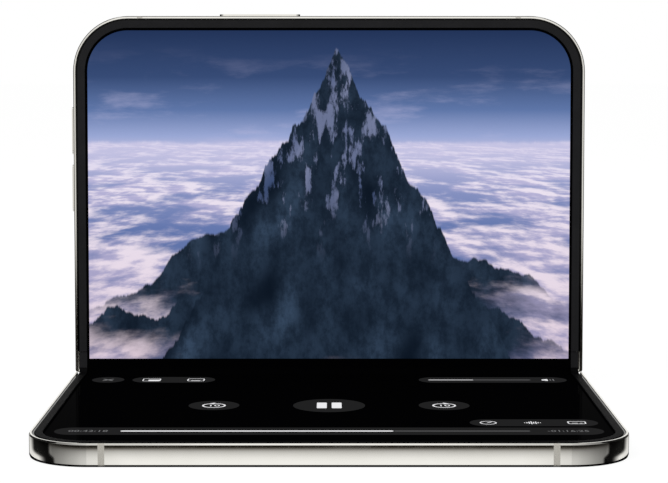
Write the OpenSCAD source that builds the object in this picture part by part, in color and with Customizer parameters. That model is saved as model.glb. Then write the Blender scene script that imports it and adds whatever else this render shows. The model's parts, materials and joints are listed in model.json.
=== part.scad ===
// Foldable phone, half open, with its hinge along its long side.
// The lower half lies on its outer glass and the upper half stands up from it.
// The origin is the middle of the face that the phone lies on. X runs along the hinge,
// Y runs from the front edge to the hinge and Z is up.

/* [Overall] */
// Width of the phone along its hinge
phone_w = 120.6; // [112:0.1:130]
// Depth of each half, from the middle of the hinge to its far edge
half_d = 84.4; // [80:0.1:95]
// Thickness of each half, to the top of its bezel
half_t = 4.8; // [4.75:0.05:5.4]
// Angle between the two halves as stored
open_angle = 92; // [70:1:130]
// Radius of the four outer corners
corner_r = 13; // [8:0.5:16]

/* [Frame] */
// Thickness of the frame's wall
wall_t = 1.5; // [1.2:0.1:2]
// Width of the polished rim that shows beside the bezel
rim_w = 0.6; // [0.5:0.05:0.9]
// Depth of the rim below the bezel's top
rim_drop = 0.05; // [0.05:0.05:0.35]
// Radius on the rim's inner edge
rim_inner_r = 0.12; // [0.05:0.01:0.15]
// Height of the frame's lower edge above the face that the half lies on
frame_low = 0.05; // [0.05:0.05:0.2]
// Height of the bevel on the frame's upper outer edge
bevel_h = 0.36; // [0.2:0.02:0.5]
// Slope of that bevel, counted from upright
bevel_slope = 28; // [20:1:40]
// Radius on the bevel's lower edge
rim_edge_r = 0.12; // [0.05:0.01:0.2]
// Radius on the bevel's upper edge
bevel_top_r = 0.08; // [0.04:0.01:0.12]
// Radius on the frame's lower outer edge
low_edge_r = 0.45; // [0.2:0.05:0.6]
// Thickness of the plate that carries the screen
midplate_t = 0.5; // [0.4:0.05:0.7]
// Radius on the outer corner of each side wall beside the hinge
wall_end_r = 0.8; // [0.4:0.1:1.2]
// Depth of the frame's bar along the hinge
hinge_bar_d = 0.9; // [0.6:0.1:1.5]

/* [Screen] */
// Depth of the screen below the bezel's top
screen_drop = 0.45; // [0.4:0.05:0.55]
// Thickness of the folding screen
screen_t = 0.3; // [0.2:0.05:0.35]
// Thickness of the metal plate under the screen
support_t = 0.25; // [0.15:0.05:0.3]
// Distance from the outer edge to the screen's hidden edge
screen_inset = 1.9; // [1.8:0.05:2.2]

/* [Bezel] */
// Distance from the outer edge to the bezel
bezel_inset = 1.0; // [0.9:0.05:1.15]
// Width of the bezel
bezel_w = 1.8; // [1.5:0.1:2.2]
// Width of the bezel's foot beside the screen
bezel_foot_w = 0.8; // [0.5:0.05:0.85]
// Gap between the screen and the bezel above it
bezel_gap = 0.03; // [0.02:0.01:0.05]
// Radius on the bezel's edges
bezel_edge_r = 0.18; // [0.05:0.01:0.2]
// Depth, below the bezel's top, of the lip that closes the gap beside the rim
lip_drop = 0.2; // [0.2:0.05:0.7]
// Distance from the hinge's middle to the seam where the bezel ends
bezel_seam_v = 5.1; // [3:0.1:6]
// Width of that seam
seam_gap = 0.12; // [0.08:0.01:0.2]
// Depth of the soft strip's top below the bezel's top, beside the hinge
strip_drop = 0.15; // [0.1:0.05:0.3]

/* [Outer glass] */
// Thickness of the cover glass and of the back glass
glass_t = 0.6; // [0.4:0.05:0.6]
// Distance from the outer edge to the glass
glass_inset = 0.95; // [0.8:0.05:1.2]
// Gap around a piece of glass
glass_gap = 0.05; // [0.02:0.01:0.1]
// Thickness of the cover display behind the cover glass
panel_t = 0.4; // [0.2:0.05:0.45]

/* [Hinge] */
// Distance between the two fold axes
axis_gap = 1.6; // [1.5:0.05:1.8]
// Gap between the two halves when they are flat
half_gap = 0.2; // [0.1:0.05:0.3]
// Thickness of the spine's wall
spine_wall = 0.4; // [0.3:0.05:0.45]
// Depth of the spine's open top below the screen's middle
spine_top = 0.5; // [0.45:0.01:0.55]
// Depth of the spine's ends below the screen's middle
spine_end_top = 0.9; // [0.8:0.05:1]
// Length of each lowered end of the spine
spine_end_len = 1.4; // [1:0.1:3]
// Thickness of each end cap inside the spine
end_cap_t = 1.2; // [0.8:0.1:1.4]
// Running gap between hinge pieces
run_gap = 0.1; // [0.08:0.01:0.12]
// Distance from the phone's middle to each hinge unit
unit_x = 38; // [30:1:44]
// Thickness of each hinge block beyond its curved guides
block_end_t = 0.9; // [0.6:0.1:3]
// Thickness of the block's skin outside a curved guide
guide_skin = 0.37; // [0.3:0.01:0.5]
// Thickness of the curved guides
guide_t = 0.7; // [0.5:0.05:0.75]
// Width of each curved guide
guide_w = 3; // [2:0.1:3.4]
// Distance from a hinge unit's middle to the middle of each curved guide
guide_x = 6.5; // [6.2:0.1:6.8]
// Sweep of each curved guide past straight down
guide_past = 35; // [25:1:40]
// Thickness of the flange that carries a curved guide
flange_t = 0.4; // [0.3:0.05:0.5]
// Distance from a curved guide's inner face to the start of its flange
flange_start = 0.15; // [0.1:0.01:0.25]

/* [Gears] */
// Number of teeth on each gear
gear_teeth = 10; // [8:2:12]
// Pitch radius of the gears
gear_r = 0.7; // [0.65:0.01:0.72]
// Depth of the gears' axes below the screen's middle
gear_depth = 1.6; // [1.55:0.01:1.65]
// Width of the gears
gear_w = 2.4; // [1.6:0.1:2.8]
// Radius of the gear shafts
shaft_r = 0.3; // [0.2:0.01:0.32]
// Running gap around a gear shaft
shaft_gap = 0.03; // [0.02:0.01:0.04]
// Distance from a gear shaft's end to the curved guide beside it
shaft_end_gap = 0.5; // [0.3:0.05:1]
// Height of each tooth above the pitch circle
tooth_up = 0.13; // [0.08:0.01:0.14]
// Depth of each gap below the pitch circle
tooth_down = 0.15; // [0.14:0.01:0.18]
// Share of a tooth's step that its root and its tip take
tooth_root = 0.58; // [0.5:0.01:0.6]
tooth_tip = 0.2; // [0.15:0.01:0.22]
// Length of each sync arm beyond its shaft
arm_len = 8; // [7:0.1:8.3]
// Thickness of each sync arm
arm_t = 0.6; // [0.4:0.05:0.6]

/* [Hinge brackets] */
// Gap between the spine and the brackets beside it
bracket_gap = 0.3; // [0.3:0.05:0.6]
// Thickness of a bracket behind the sync arm's pocket
bracket_back_t = 1.9; // [1.5:0.1:3]
// Width of a bracket beyond its screws
bracket_edge = 1.1; // [0.8:0.1:3]
// Thickness of the floor of the sync arm's pocket
pocket_floor_t = 0.5; // [0.4:0.05:0.55]
// Gap between a sync arm and its pocket's floor and end
pocket_gap = 0.6; // [0.55:0.05:0.7]
// Distance from a hinge unit's middle to each bracket screw
screw_x = 8.8; // [7:0.1:9.5]
// Radius of a bracket screw's head
screw_head_r = 1.1; // [0.9:0.05:1.3]
// Radius of a bracket screw's shank
screw_r = 0.6; // [0.4:0.05:0.7]
// Thickness of a bracket screw's head
screw_head_t = 0.35; // [0.2:0.05:0.4]

/* [Keys] */
// Distance from the side to the near end of the side key
side_key_from = 34.5; // [20:0.1:45]
// Length of the side key
side_key_len = 19; // [14:0.1:24]
// Height of the side key above the edge
side_key_proud = 0.5; // [0.4:0.05:0.7]
// Distance from the far edge to the upper end of the volume keys
volume_from = 21.4; // [18:0.1:25]
// Length of each volume key
volume_len = 11.1; // [9:0.1:13]
// Gap between the volume keys
volume_gap = 2.5; // [2:0.1:4]
// Height of the volume keys above the edge
volume_proud = 0.55; // [0.4:0.05:0.7]
// Width of every key
key_w = 1.8; // [1.5:0.05:1.9]
// Height of the middle of every key above the middle of the space inside
key_rise = 0.15; // [0.05:0.05:0.2]
// Gap around a key in its slot
key_gap = 0.08; // [0.05:0.01:0.1]
// Travel of every key
key_travel = 0.25; // [0.15:0.01:0.3]
// Length of the lug at each end of a key
key_lug = 0.6; // [0.4:0.05:1]
// Thickness of a key's lug
key_lug_t = 0.4; // [0.3:0.05:0.5]

/* [Edge details] */
// Width of each antenna band
band_w = 1.3; // [0.8:0.1:2]
// Distance from the side to the middle of a band on the lower half
lower_band_from = 15.85; // [13.7:0.05:20]
// Distance from the side to the middle of a band on the upper half
upper_band_from = 15.8; // [13.7:0.1:20]
// Distance from the charging port's side to the near end of the antenna window
window_from = 25.1; // [20:0.1:30]
// Length of the antenna window
window_len = 17; // [12:0.1:20]
// Width of the antenna window
window_w = 1.7; // [1.2:0.05:1.8]
// Depth of the antenna window
window_depth = 0.8; // [0.5:0.1:1]
// Radius of each speaker hole
speaker_hole_r = 0.55; // [0.3:0.05:0.7]
// Distance between speaker holes
speaker_pitch = 2; // [1.6:0.1:3]
// Number of holes in each speaker row
speaker_holes = 5; // [3:1:5]
// Length of a key's dome switch
switch_l = 4; // [3:0.5:8]
// Width of a key's dome switch
switch_w = 2; // [1.5:0.1:2.1]
// Thickness of a key's dome switch
switch_t = 0.6; // [0.4:0.1:1]

/* [Charging port] */
// Width of the charging port's opening
port_w = 8.34; // [8:0.02:8.6]
// Height of the charging port's opening
port_h = 2.56; // [2.4:0.02:2.6]
// Thickness of the charging port's metal shell
port_shell_t = 0.27; // [0.2:0.01:0.28]
// Depth of the charging port
port_depth = 6.2; // [5.5:0.1:7]
// Thickness of the charging port's back wall
port_back_t = 0.4; // [0.3:0.05:0.5]
// Distance from the port's mouth to the tip of its tongue
tongue_drop = 1.2; // [0.8:0.1:1.5]
// Width of the charging port's tongue
tongue_w = 6.7; // [6:0.1:7]
// Thickness of the charging port's tongue
tongue_t = 0.7; // [0.5:0.05:0.8]
// Distance from the port's middle to each edge screw
edge_screw_from = 7.4; // [6.5:0.1:9]
// Radius of an edge screw's head
edge_screw_r = 0.72; // [0.5:0.02:0.8]
// Length of an edge screw
edge_screw_l = 1.7; // [1.2:0.1:2.5]
// Gap between each edge screw and the speaker beside it
edge_screw_gap = 0.28; // [0.2:0.01:1]
// Distance from the side to the charging port's mouth
port_set_back = 0.2; // [0.1:0.05:0.4]

/* [Camera] */
// Distance from the side to the camera plateau
plateau_from = 3.6; // [3:0.1:6]
// Width of the camera plateau
plateau_w = 24; // [22:0.5:28]
// Length of the camera plateau
plateau_len = 62; // [58:0.5:70]
// Thickness of the camera plateau
plateau_t = 2; // [1.2:0.1:2.6]
// Corner radius of the camera plateau
plateau_r = 10; // [6:0.5:11]
// Radius on the camera plateau's outer edge
plateau_edge_r = 0.9; // [0.3:0.1:1.2]
// Width of the plateau's flange behind the back glass
plateau_flange_w = 0.8; // [0.5:0.1:1]
// Thickness of that flange
plateau_flange_t = 0.3; // [0.2:0.05:0.4]
// Outer radius of each lens ring
lens_ring_r = 8.2; // [7.4:0.1:9]
// Thickness of each lens glass
lens_glass_t = 0.6; // [0.4:0.1:0.65]
// Depth of each lens glass inside its ring
lens_glass_drop = 0.3; // [0.1:0.05:0.35]
// Width of each lens ring's wall
lens_ring_w = 1.3; // [0.8:0.1:1.6]
// Height of each lens ring above the plateau
lens_ring_h = 1.1; // [0.6:0.1:1.5]
// Radius on each lens ring's outer edge
lens_ring_edge_r = 0.4; // [0.2:0.05:0.5]
// Distance between the two rear lenses
lens_pitch = 20; // [18.5:0.5:24]
// Radius of the flash
flash_r = 2.9; // [2:0.1:3.5]
// Distance from the second lens to the flash
flash_pitch = 17; // [15:0.5:20]
// Gap between a camera and its lens ring
module_gap = 1; // [0.5:0.1:2]
// Radius of the cover camera
cover_camera_r = 1.9; // [1.5:0.1:2.5]
// Distance from the side to the middle of the cover camera
cover_camera_from_side = 14; // [12:0.5:15]
// Distance from the far edge to the middle of the cover camera
cover_camera_from_far = 12; // [8:0.5:16]

/* [Inside] */
// Gap around the pieces inside each half
inner_gap = 0.1; // [0.05:0.01:0.15]
// Clearance between a fixed piece and its seat
fit_gap = 0.03; // [0.01:0.01:0.05]
// Distance from the hinge brackets to both batteries
battery_space = 6; // [2:0.5:8]
// Distance from both batteries to the wall at the far edge
battery_far_gap = 7.9; // [2:0.1:12]
// Distance from each battery to the pieces beside it on the +x side
battery_side_gap = 3.4; // [1:0.1:6]
// Width of the main board
board_w = 24; // [20:1:26]
// Thickness of the main board
board_t = 0.6; // [0.4:0.1:0.8]
// Thickness of the shields on the main board
shield_t = 1.2; // [0.8:0.1:1.3]
// Distance between neighbours inside a half
part_space = 1; // [0.5:0.1:2]
// Corner radius of the batteries and speakers
pouch_r = 1.5; // [0.5:0.1:2.5]
// Corner radius of the boards, their shields and the haptic motor
part_r = 1; // [0.3:0.1:1.5]
// Length of the lower half's speakers
speaker_l = 26; // [14:1:28]
// Width of the lower half's left speaker
left_speaker_w = 11; // [8:0.5:11]
// Width of the lower half's right speaker
right_speaker_w = 13; // [8:0.5:14]
// Width of the haptic motor along the hinge
haptic_w = 12; // [8:0.5:14]
// Distance from the haptic motor to the cover camera
haptic_gap = 2.2; // [1:0.1:4]
// Length of the upper half's right speakers
small_speaker_l = 12; // [11:0.5:14]
// Width of the upper half's right speakers
small_speaker_w = 5; // [3:0.5:6]
// Length of the earpiece
earpiece_l = 11; // [10.5:0.5:12]
// Width of the earpiece
earpiece_w = 8; // [5:0.5:9]
// Length of each shield on the main board
shield_l = 24; // [16:1:26]
// Distance from the main board's edge to a shield
shield_inset = 2; // [1:0.5:4]
// Outer radius of the charging coil
coil_r = 21; // [16:1:22]
// Width of the charging coil's winding
coil_w = 9; // [5:1:12]
// Thickness of the charging coil
coil_t = 0.35; // [0.2:0.05:0.4]

/* [Hidden] */
$fn = 64;

// Fold: each half turns by the same angle about its own axis.
fold = (180 - open_angle) / 2;
axis_v = axis_gap / 2;
hinge_y = half_d / 2;
near_v = half_gap / 2;
// The bend starts this far beyond each axis, so that its length stays the same.
bend_from = (PI / 2 - 1) * axis_v;
bend_r = (axis_v + bend_from * cos(fold)) / sin(fold);
bend_z = bend_from * sin(fold) + bend_r * cos(fold);
screen_high = half_t - screen_drop;
screen_z = screen_high - screen_t / 2;
screen_low = screen_z - screen_t / 2;
plate_low = screen_low - support_t;
midplate_low = plate_low - midplate_t;
bezel_low = screen_high + bezel_gap;
strip_top = half_t - strip_drop;
rim_top = half_t - rim_drop;
strip_from = axis_v + bend_from;
side_x = phone_w / 2;
inner_x = side_x - wall_t;
spine_half = inner_x - run_gap;
spine_r = screen_z - glass_t - run_gap;
spine_in_r = spine_r - spine_wall;
block_r = spine_in_r - fit_gap;
guide_r_out = block_r - guide_skin;
guide_r_in = guide_r_out - guide_t;
block_len = 2 * (guide_x + guide_w / 2 + run_gap + block_end_t);
shaft_len = 2 * (guide_x - guide_w / 2 - run_gap - shaft_end_gap);
panel_high = glass_t + panel_t;
cavity_low = panel_high + inner_gap;
cavity_high = midplate_low - inner_gap;
cavity_far = half_d - wall_t - inner_gap;
flange_high = midplate_low - screen_z;
flange_low = flange_high - flange_t;
outer_gear_y = 3 * gear_r;
tip_r = gear_r + tooth_up;
root_r = gear_r - tooth_down;
bracket_v = axis_v + spine_r + bracket_gap;
pocket_d = outer_gear_y + arm_len + pocket_gap - bracket_v;
bracket_d = pocket_d + bracket_back_t;
bracket_len = 2 * (screw_x + screw_head_r + bracket_edge);
pocket_floor = screen_z - gear_depth - arm_t / 2 - pocket_gap;
bracket_low = pocket_floor - pocket_floor_t;
cavity_near = bracket_v + bracket_d + inner_gap;
port_z = glass_t + port_shell_t + port_h / 2 + fit_gap;
port_v = half_d / 2;
speaker_z = (glass_t + midplate_low) / 2 + 0.2;
key_z = (glass_t + midplate_low) / 2 + key_rise;
lens_x = -side_x + plateau_from + plateau_w / 2;
plateau_far = half_d - plateau_from;
lens_v = plateau_far - plateau_w / 2;
flash_v = lens_v - lens_pitch - flash_pitch;
module_r = lens_ring_r - lens_ring_w - module_gap;
side_key_x = -side_x + side_key_from + side_key_len / 2;
volume_up_v = half_d - volume_from - volume_len / 2;
volume_down_v = volume_up_v - volume_len - volume_gap;
window_x = side_x - window_from - window_len / 2;
key_back = wall_t + glass_gap + key_lug_t;
speaker_v = half_d / 2;
earpiece_v = half_d / 4;
edge_row = edge_screw_from + edge_screw_r + edge_screw_gap + small_speaker_l / 2;
battery_near = cavity_near + battery_space;
battery_far = cavity_far - battery_far_gap;
lower_battery_x0 = inner_gap + left_speaker_w + part_space - inner_x;
lower_battery_x1 = inner_x - inner_gap - right_speaker_w - battery_side_gap;
shaft_bore_r = shaft_r + shaft_gap;
board_x = -side_x + plateau_from + plateau_w + board_w / 2;
upper_battery_x0 = board_x + board_w / 2 + part_space;
edge_pieces_d = max(wall_t + inner_gap + small_speaker_w, port_set_back + port_depth);
upper_battery_x1 = side_x - edge_pieces_d - battery_side_gap;
haptic_near = speaker_v + speaker_l / 2 + part_space;
haptic_far = half_d - cover_camera_from_far - cover_camera_r - haptic_gap;
// How far a cutting shape runs past what it cuts, and the reach of the largest ones.
cut = 1;
reach = 10;

steel = [0.80, 0.79, 0.76];
charcoal = [0.13, 0.13, 0.14];
black = [0.02, 0.02, 0.02];
grey = [0.45, 0.46, 0.48];
copper = [0.72, 0.45, 0.25];

// Points of an arc about [cx, cy], from angle a0 to a1.
function arc(cx, cy, r, a0, a1, steps = 6) =
    [for (i = [0:steps]) let (a = a0 + (a1 - a0) * i / steps) [cx + r * cos(a), cy + r * sin(a)]];

// Each half is drawn lying flat: x along the hinge, y away from the hinge's middle, z up.
module place_lower() {
    translate([0, hinge_y, 0]) mirror([0, 1, 0]) children();
}

// The spine is drawn with its origin between the two fold axes.
module place_spine() {
    translate([0, hinge_y - axis_v, screen_z])
        rotate([fold, 0, 0])
            translate([0, axis_v, 0])
                children();
}

module place_upper() {
    place_spine()
        translate([0, axis_v, 0])
            rotate([fold, 0, 0])
                translate([0, -axis_v, -screen_z])
                    children();
}

// A 2D rectangle with four rounded corners.
module rounded_rect(x0, x1, y0, y1, r) {
    translate([x0 + r, y0]) square([x1 - x0 - 2 * r, y1 - y0]);
    translate([x0, y0 + r]) square([x1 - x0, y1 - y0 - 2 * r]);
    for (x = [x0 + r, x1 - r], y = [y0 + r, y1 - r]) translate([x, y]) circle(r);
}

module rounded_box(x0, x1, y0, y1, z0, z1, r) {
    translate([0, 0, z0]) linear_extrude(z1 - z0) rounded_rect(x0, x1, y0, y1, r);
}

// The outline of one half, drawn in by inset, from near to its far edge.
module half_outline(inset, near) {
    r = corner_r - inset;
    w = side_x - inset;
    far = half_d - inset;
    translate([-w, near]) square([2 * w, far - r - near]);
    translate([r - w, near]) square([2 * (w - r), far - near]);
    for (s = [-1, 1]) translate([s * (w - r), far - r]) circle(r);
}

module half_slab(inset, near, z0, z1) {
    translate([0, 0, z0]) linear_extrude(z1 - z0) half_outline(inset, near);
}

// Sweeps a profile, drawn inward from the outer edge, round the three free sides.
module edge_sweep(near) {
    side_len = half_d - corner_r - near;
    for (s = [0, 1])
        mirror([s, 0, 0])
            translate([-side_x, near + side_len, 0])
                rotate([90, 0, 0])
                    linear_extrude(side_len) children();
    translate([corner_r - side_x, half_d, 0])
        rotate([90, 0, 90])
            linear_extrude(phone_w - 2 * corner_r) mirror([1, 0]) children();
    for (s = [0, 1])
        mirror([s, 0, 0])
            translate([side_x - corner_r, half_d - corner_r, 0])
                rotate_extrude(angle = 90) translate([corner_r, 0]) mirror([1, 0]) children();
}

// A bar with round ends, along x and standing up, with its length along its own axis.
module pill(len, d, t) {
    for (s = [-1, 1]) translate([s * (len - d) / 2, 0, 0]) cylinder(h = t, d = d);
    translate([(d - len) / 2, -d / 2, 0]) cube([len - d, d, t]);
}

// Puts a pill in the far edge, reaching outward from depth d inside the edge.
module at_far_edge(x, z, d) {
    translate([x, half_d - d, z]) rotate([-90, 0, 0]) children();
}

// The same in the side edge on the -x side.
module at_left_edge(v, z, d) {
    translate([-side_x + d, v, z]) rotate([0, -90, 0]) rotate([0, 0, 90]) children();
}

// Frame

module rim_profile() {
    slope_h = bevel_h - rim_edge_r * sin(bevel_slope) - bevel_top_r * (1 - sin(bevel_slope));
    top_s = rim_edge_r * (1 - cos(bevel_slope)) + slope_h * tan(bevel_slope)
        + bevel_top_r * cos(bevel_slope);
    polygon(concat(
        arc(low_edge_r, frame_low + low_edge_r, low_edge_r, 270, 180),
        arc(rim_edge_r, rim_top - bevel_h, rim_edge_r, 180, 180 - bevel_slope, 3),
        arc(top_s, rim_top - bevel_top_r, bevel_top_r, 180 - bevel_slope, 90, 4),
        arc(rim_w - rim_inner_r, rim_top - rim_inner_r, rim_inner_r, 90, 0, 3),
        [
            [rim_w, plate_low], [wall_t, plate_low], [wall_t, glass_t],
            [glass_inset - glass_gap, glass_t], [glass_inset - glass_gap, frame_low]
        ]
    ));
}

// Rounds the walls' ends so that the two halves clear each other as they fold.
module wall_end_relief() {
    translate([0, axis_v, screen_z])
        rotate([0, 90, 0])
            difference() {
                translate([-2 * axis_v, -2 * axis_v, -side_x - cut])
                    cube([2 * axis_v, 2 * axis_v, phone_w + 2 * cut]);
                translate([0, 0, -side_x - 2 * cut])
                    cylinder(h = phone_w + 4 * cut, r = axis_v - near_v);
            }
    for (s = [0, 1])
        mirror([s, 0, 0])
            translate([-side_x + wall_end_r, near_v + wall_end_r, -cut])
                difference() {
                    translate([-wall_end_r - cut, -wall_end_r - cut, 0])
                        cube([wall_end_r + cut, wall_end_r + cut, half_t + 2 * cut]);
                    translate([0, 0, -cut]) cylinder(h = half_t + 4 * cut, r = wall_end_r);
                }
}

// One antenna band's slot, or the band that fills it.
module band_slots(from_side) {
    for (s = [-1, 1])
        translate([s * (side_x - from_side) - band_w / 2, half_d - wall_t - cut, -cut])
            cube([band_w, wall_t + 2 * cut, half_t + 2 * cut]);
}

module speaker_row(side, v) {
    for (i = [0:speaker_holes - 1])
        translate([
            side * (inner_x - cut), v + (i - (speaker_holes - 1) / 2) * speaker_pitch, speaker_z
        ])
            rotate([0, side * 90, 0])
                cylinder(h = wall_t + 2 * cut, r = speaker_hole_r, $fn = 24);
}

module bracket_screw_spots() {
    for (u = [-unit_x, unit_x], s = [-1, 1])
        translate([u + s * screw_x, bracket_v + bracket_d / 2, 0]) children();
}

module frame_blank(band_from) {
    difference() {
        union() {
            edge_sweep(near_v) rim_profile();
            half_slab(wall_t - 0.2, bracket_v, midplate_low, plate_low);
            translate([-inner_x - 0.5, near_v, frame_low])
                cube([2 * inner_x + 1, hinge_bar_d, glass_t - frame_low]);
        }
        wall_end_relief();
        band_slots(band_from);
        bracket_screw_spots() {
            translate([0, 0, plate_low - screw_head_t - fit_gap])
                cylinder(h = cut, r = screw_head_r + fit_gap, $fn = 32);
            translate([0, 0, midplate_low - cut])
                cylinder(h = 2 * cut, r = screw_r + fit_gap, $fn = 32);
        }
    }
}

module lower_frame() {
    color(steel) place_lower()
        difference() {
            frame_blank(lower_band_from);
            for (s = [-1, 1]) speaker_row(s, speaker_v);
        }
}

module upper_frame() {
    color(steel) place_upper()
        difference() {
            frame_blank(upper_band_from);
            for (s = [-1, 1]) speaker_row(1, port_v + s * edge_row);
            speaker_row(-1, earpiece_v);
            at_far_edge(side_key_x, key_z, wall_t + cut)
                pill(side_key_len + 2 * key_gap, key_w + 2 * key_gap, wall_t + 2 * cut);
            for (v = [volume_up_v, volume_down_v])
                at_left_edge(v, key_z, wall_t + cut)
                    pill(volume_len + 2 * key_gap, key_w + 2 * key_gap, wall_t + 2 * cut);
            at_far_edge(window_x, key_z, window_depth) pill(window_len, window_w, wall_t);
            translate([side_x, port_v, port_z]) port_hole();
            for (s = [-1, 1])
                translate([inner_x - cut, port_v + s * edge_screw_from, port_z])
                    rotate([0, 90, 0])
                        cylinder(h = wall_t + 2 * cut, r = edge_screw_r + fit_gap, $fn = 32);
        }
}

module antenna_bands(from_side) {
    intersection() {
        edge_sweep(near_v) rim_profile();
        band_slots(from_side);
    }
}

module lower_antenna_bands() {
    color([0.72, 0.70, 0.65]) place_lower() antenna_bands(lower_band_from);
}

module upper_antenna_bands() {
    color([0.72, 0.70, 0.65]) place_upper() antenna_bands(upper_band_from);
}

module antenna_window() {
    color([0.30, 0.30, 0.30]) place_upper()
        at_far_edge(window_x, key_z, window_depth)
            pill(window_len - 2 * fit_gap, window_w - 2 * fit_gap, window_depth - fit_gap);
}

// Screen, its plates and its bezel

module screen_half() {
    half_slab(screen_inset, strip_from, screen_low, screen_high);
}

module lower_screen() {
    color(black) place_lower() screen_half();
}

module upper_screen() {
    color(black) place_upper() screen_half();
}

module support_plate() {
    half_slab(screen_inset, strip_from, plate_low, screen_low);
}

module lower_support_plate() {
    color(grey) place_lower() support_plate();
}

module upper_support_plate() {
    color(grey) place_upper() support_plate();
}

// A strip that follows the bend, between two radii and two places along the hinge.
module bend_strip(r_in, r_out, x0, x1) {
    translate([x0, 0, bend_z])
        rotate([90, 0, 90])
            linear_extrude(x1 - x0)
                intersection() {
                    difference() {
                        circle(r_out);
                        circle(r_in);
                    }
                    polygon([
                        [0, 0], reach * [-sin(fold), -cos(fold)], reach * [0, -2],
                        reach * [sin(fold), -cos(fold)]
                    ]);
                }
}

module screen_fold() {
    color(black) place_spine()
        bend_strip(
            bend_r - screen_t / 2, bend_r + screen_t / 2,
            screen_inset - side_x, side_x - screen_inset
        );
}

module fold_strips() {
    color([0.18, 0.18, 0.19]) place_spine()
        for (s = [0, 1])
            mirror([s, 0, 0])
                bend_strip(
                    bend_r - (strip_top - screen_z), bend_r - (bezel_low - screen_z),
                    side_x - bezel_inset - bezel_w, side_x - bezel_inset
                );
}

module bezel_strips() {
    for (s = [0, 1])
        mirror([s, 0, 0])
            translate([side_x - bezel_inset - bezel_w, strip_from, bezel_low])
                cube([bezel_w, bezel_seam_v - seam_gap - strip_from, strip_top - bezel_low]);
}

module lower_bezel_strips() {
    color(charcoal) place_lower() bezel_strips();
}

module upper_bezel_strips() {
    color(charcoal) place_upper() bezel_strips();
}

module bezel_profile() {
    s0 = bezel_inset;
    s1 = bezel_inset + bezel_w;
    foot = bezel_inset + bezel_foot_w;
    r = bezel_edge_r;
    lip_high = half_t - max(lip_drop, r + 0.02);
    polygon(concat(
        [[rim_w + fit_gap, plate_low], [foot, plate_low], [foot, bezel_low], [s1, bezel_low]],
        arc(s1 - r, half_t - r, r, 0, 90, 4),
        arc(s0 + r, half_t - r, r, 90, 180, 4),
        [[s0, lip_high], [rim_w + fit_gap, lip_high]]
    ));
}

module lower_bezel() {
    color(charcoal) place_lower() edge_sweep(bezel_seam_v) bezel_profile();
}

module upper_bezel() {
    color(charcoal) place_upper() edge_sweep(bezel_seam_v) bezel_profile();
}

// Outer glass

module glass_plate(z1) {
    half_slab(glass_inset, near_v + hinge_bar_d + glass_gap, 0, z1);
}

module cover_camera_spot() {
    translate([side_x - cover_camera_from_side, half_d - cover_camera_from_far, 0]) children();
}

module cover_glass() {
    color([0.05, 0.05, 0.06]) place_lower()
        difference() {
            glass_plate(glass_t);
            cover_camera_spot() translate([0, 0, -cut])
                cylinder(h = glass_t + 2 * cut, r = cover_camera_r + fit_gap);
        }
}

module cover_display() {
    color(black) place_lower()
        difference() {
            half_slab(wall_t + inner_gap, cavity_near, glass_t, panel_high);
            cover_camera_spot() translate([0, 0, -cut])
                cylinder(h = panel_high + 2 * cut, r = cover_camera_r + 2 * inner_gap);
        }
}

module cover_camera() {
    color([0.03, 0.03, 0.05]) place_lower()
        cover_camera_spot() translate([0, 0, fit_gap])
            cylinder(h = cavity_high - fit_gap, r = cover_camera_r);
}

module back_glass() {
    color([0.86, 0.84, 0.80]) place_upper()
        difference() {
            glass_plate(glass_t);
            translate([0, 0, -cut])
                linear_extrude(glass_t + 2 * cut) plateau_outline(glass_gap);
        }
}

// Cameras on the outside of the upper half

module lens_spots() {
    for (i = [0, 1]) translate([lens_x, lens_v - i * lens_pitch, 0]) children();
}

// The plateau's outline, grown by extra all round.
module plateau_outline(extra) {
    rounded_rect(
        -side_x + plateau_from - extra, -side_x + plateau_from + plateau_w + extra,
        plateau_far - plateau_len - extra, plateau_far + extra, plateau_r + extra
    );
}

// Sweeps a profile, drawn inward from the outer edge, round a w by l plate with corners of radius r.
module plate_sweep(w, l, r) {
    for (s = [0, 1])
        mirror([s, 0, 0])
            translate([-w / 2, l / 2 - r, 0])
                rotate([90, 0, 0])
                    linear_extrude(l - 2 * r) children();
    for (s = [0, 1])
        mirror([0, s, 0])
            translate([r - w / 2, l / 2, 0])
                rotate([90, 0, 90])
                    linear_extrude(w - 2 * r) mirror([1, 0]) children();
    for (s = [0, 1], t = [0, 1])
        mirror([s, 0, 0])
            mirror([0, t, 0])
                translate([w / 2 - r, l / 2 - r, 0])
                    rotate_extrude(angle = 90) translate([r, 0]) mirror([1, 0]) children();
}

module plateau_profile() {
    polygon(concat(
        [[plateau_r, -plateau_t]],
        arc(plateau_edge_r, plateau_edge_r - plateau_t, plateau_edge_r, 270, 180),
        [
            [0, glass_t], [-plateau_flange_w, glass_t],
            [-plateau_flange_w, glass_t + plateau_flange_t], [plateau_r, glass_t + plateau_flange_t]
        ]
    ));
}

// The plateau stands in the back glass and is held by a flange behind it.
module camera_plateau() {
    color([0.86, 0.84, 0.80]) place_upper()
        difference() {
            translate([lens_x, plateau_far - plateau_len / 2, 0]) {
                plate_sweep(plateau_w, plateau_len, plateau_r) plateau_profile();
                translate([plateau_r - plateau_w / 2, plateau_r - plateau_len / 2, -plateau_t])
                    cube([
                        plateau_w - 2 * plateau_r, plateau_len - 2 * plateau_r,
                        plateau_t + glass_t + plateau_flange_t
                    ]);
            }
            lens_spots() translate([0, 0, -plateau_t - cut])
                cylinder(h = plateau_t + panel_high + 2 * cut, r = lens_ring_r - lens_ring_w);
            translate([lens_x, flash_v, -plateau_t - cut])
                cylinder(h = plateau_t + panel_high + 2 * cut, r = flash_r + fit_gap);
        }
}

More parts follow.
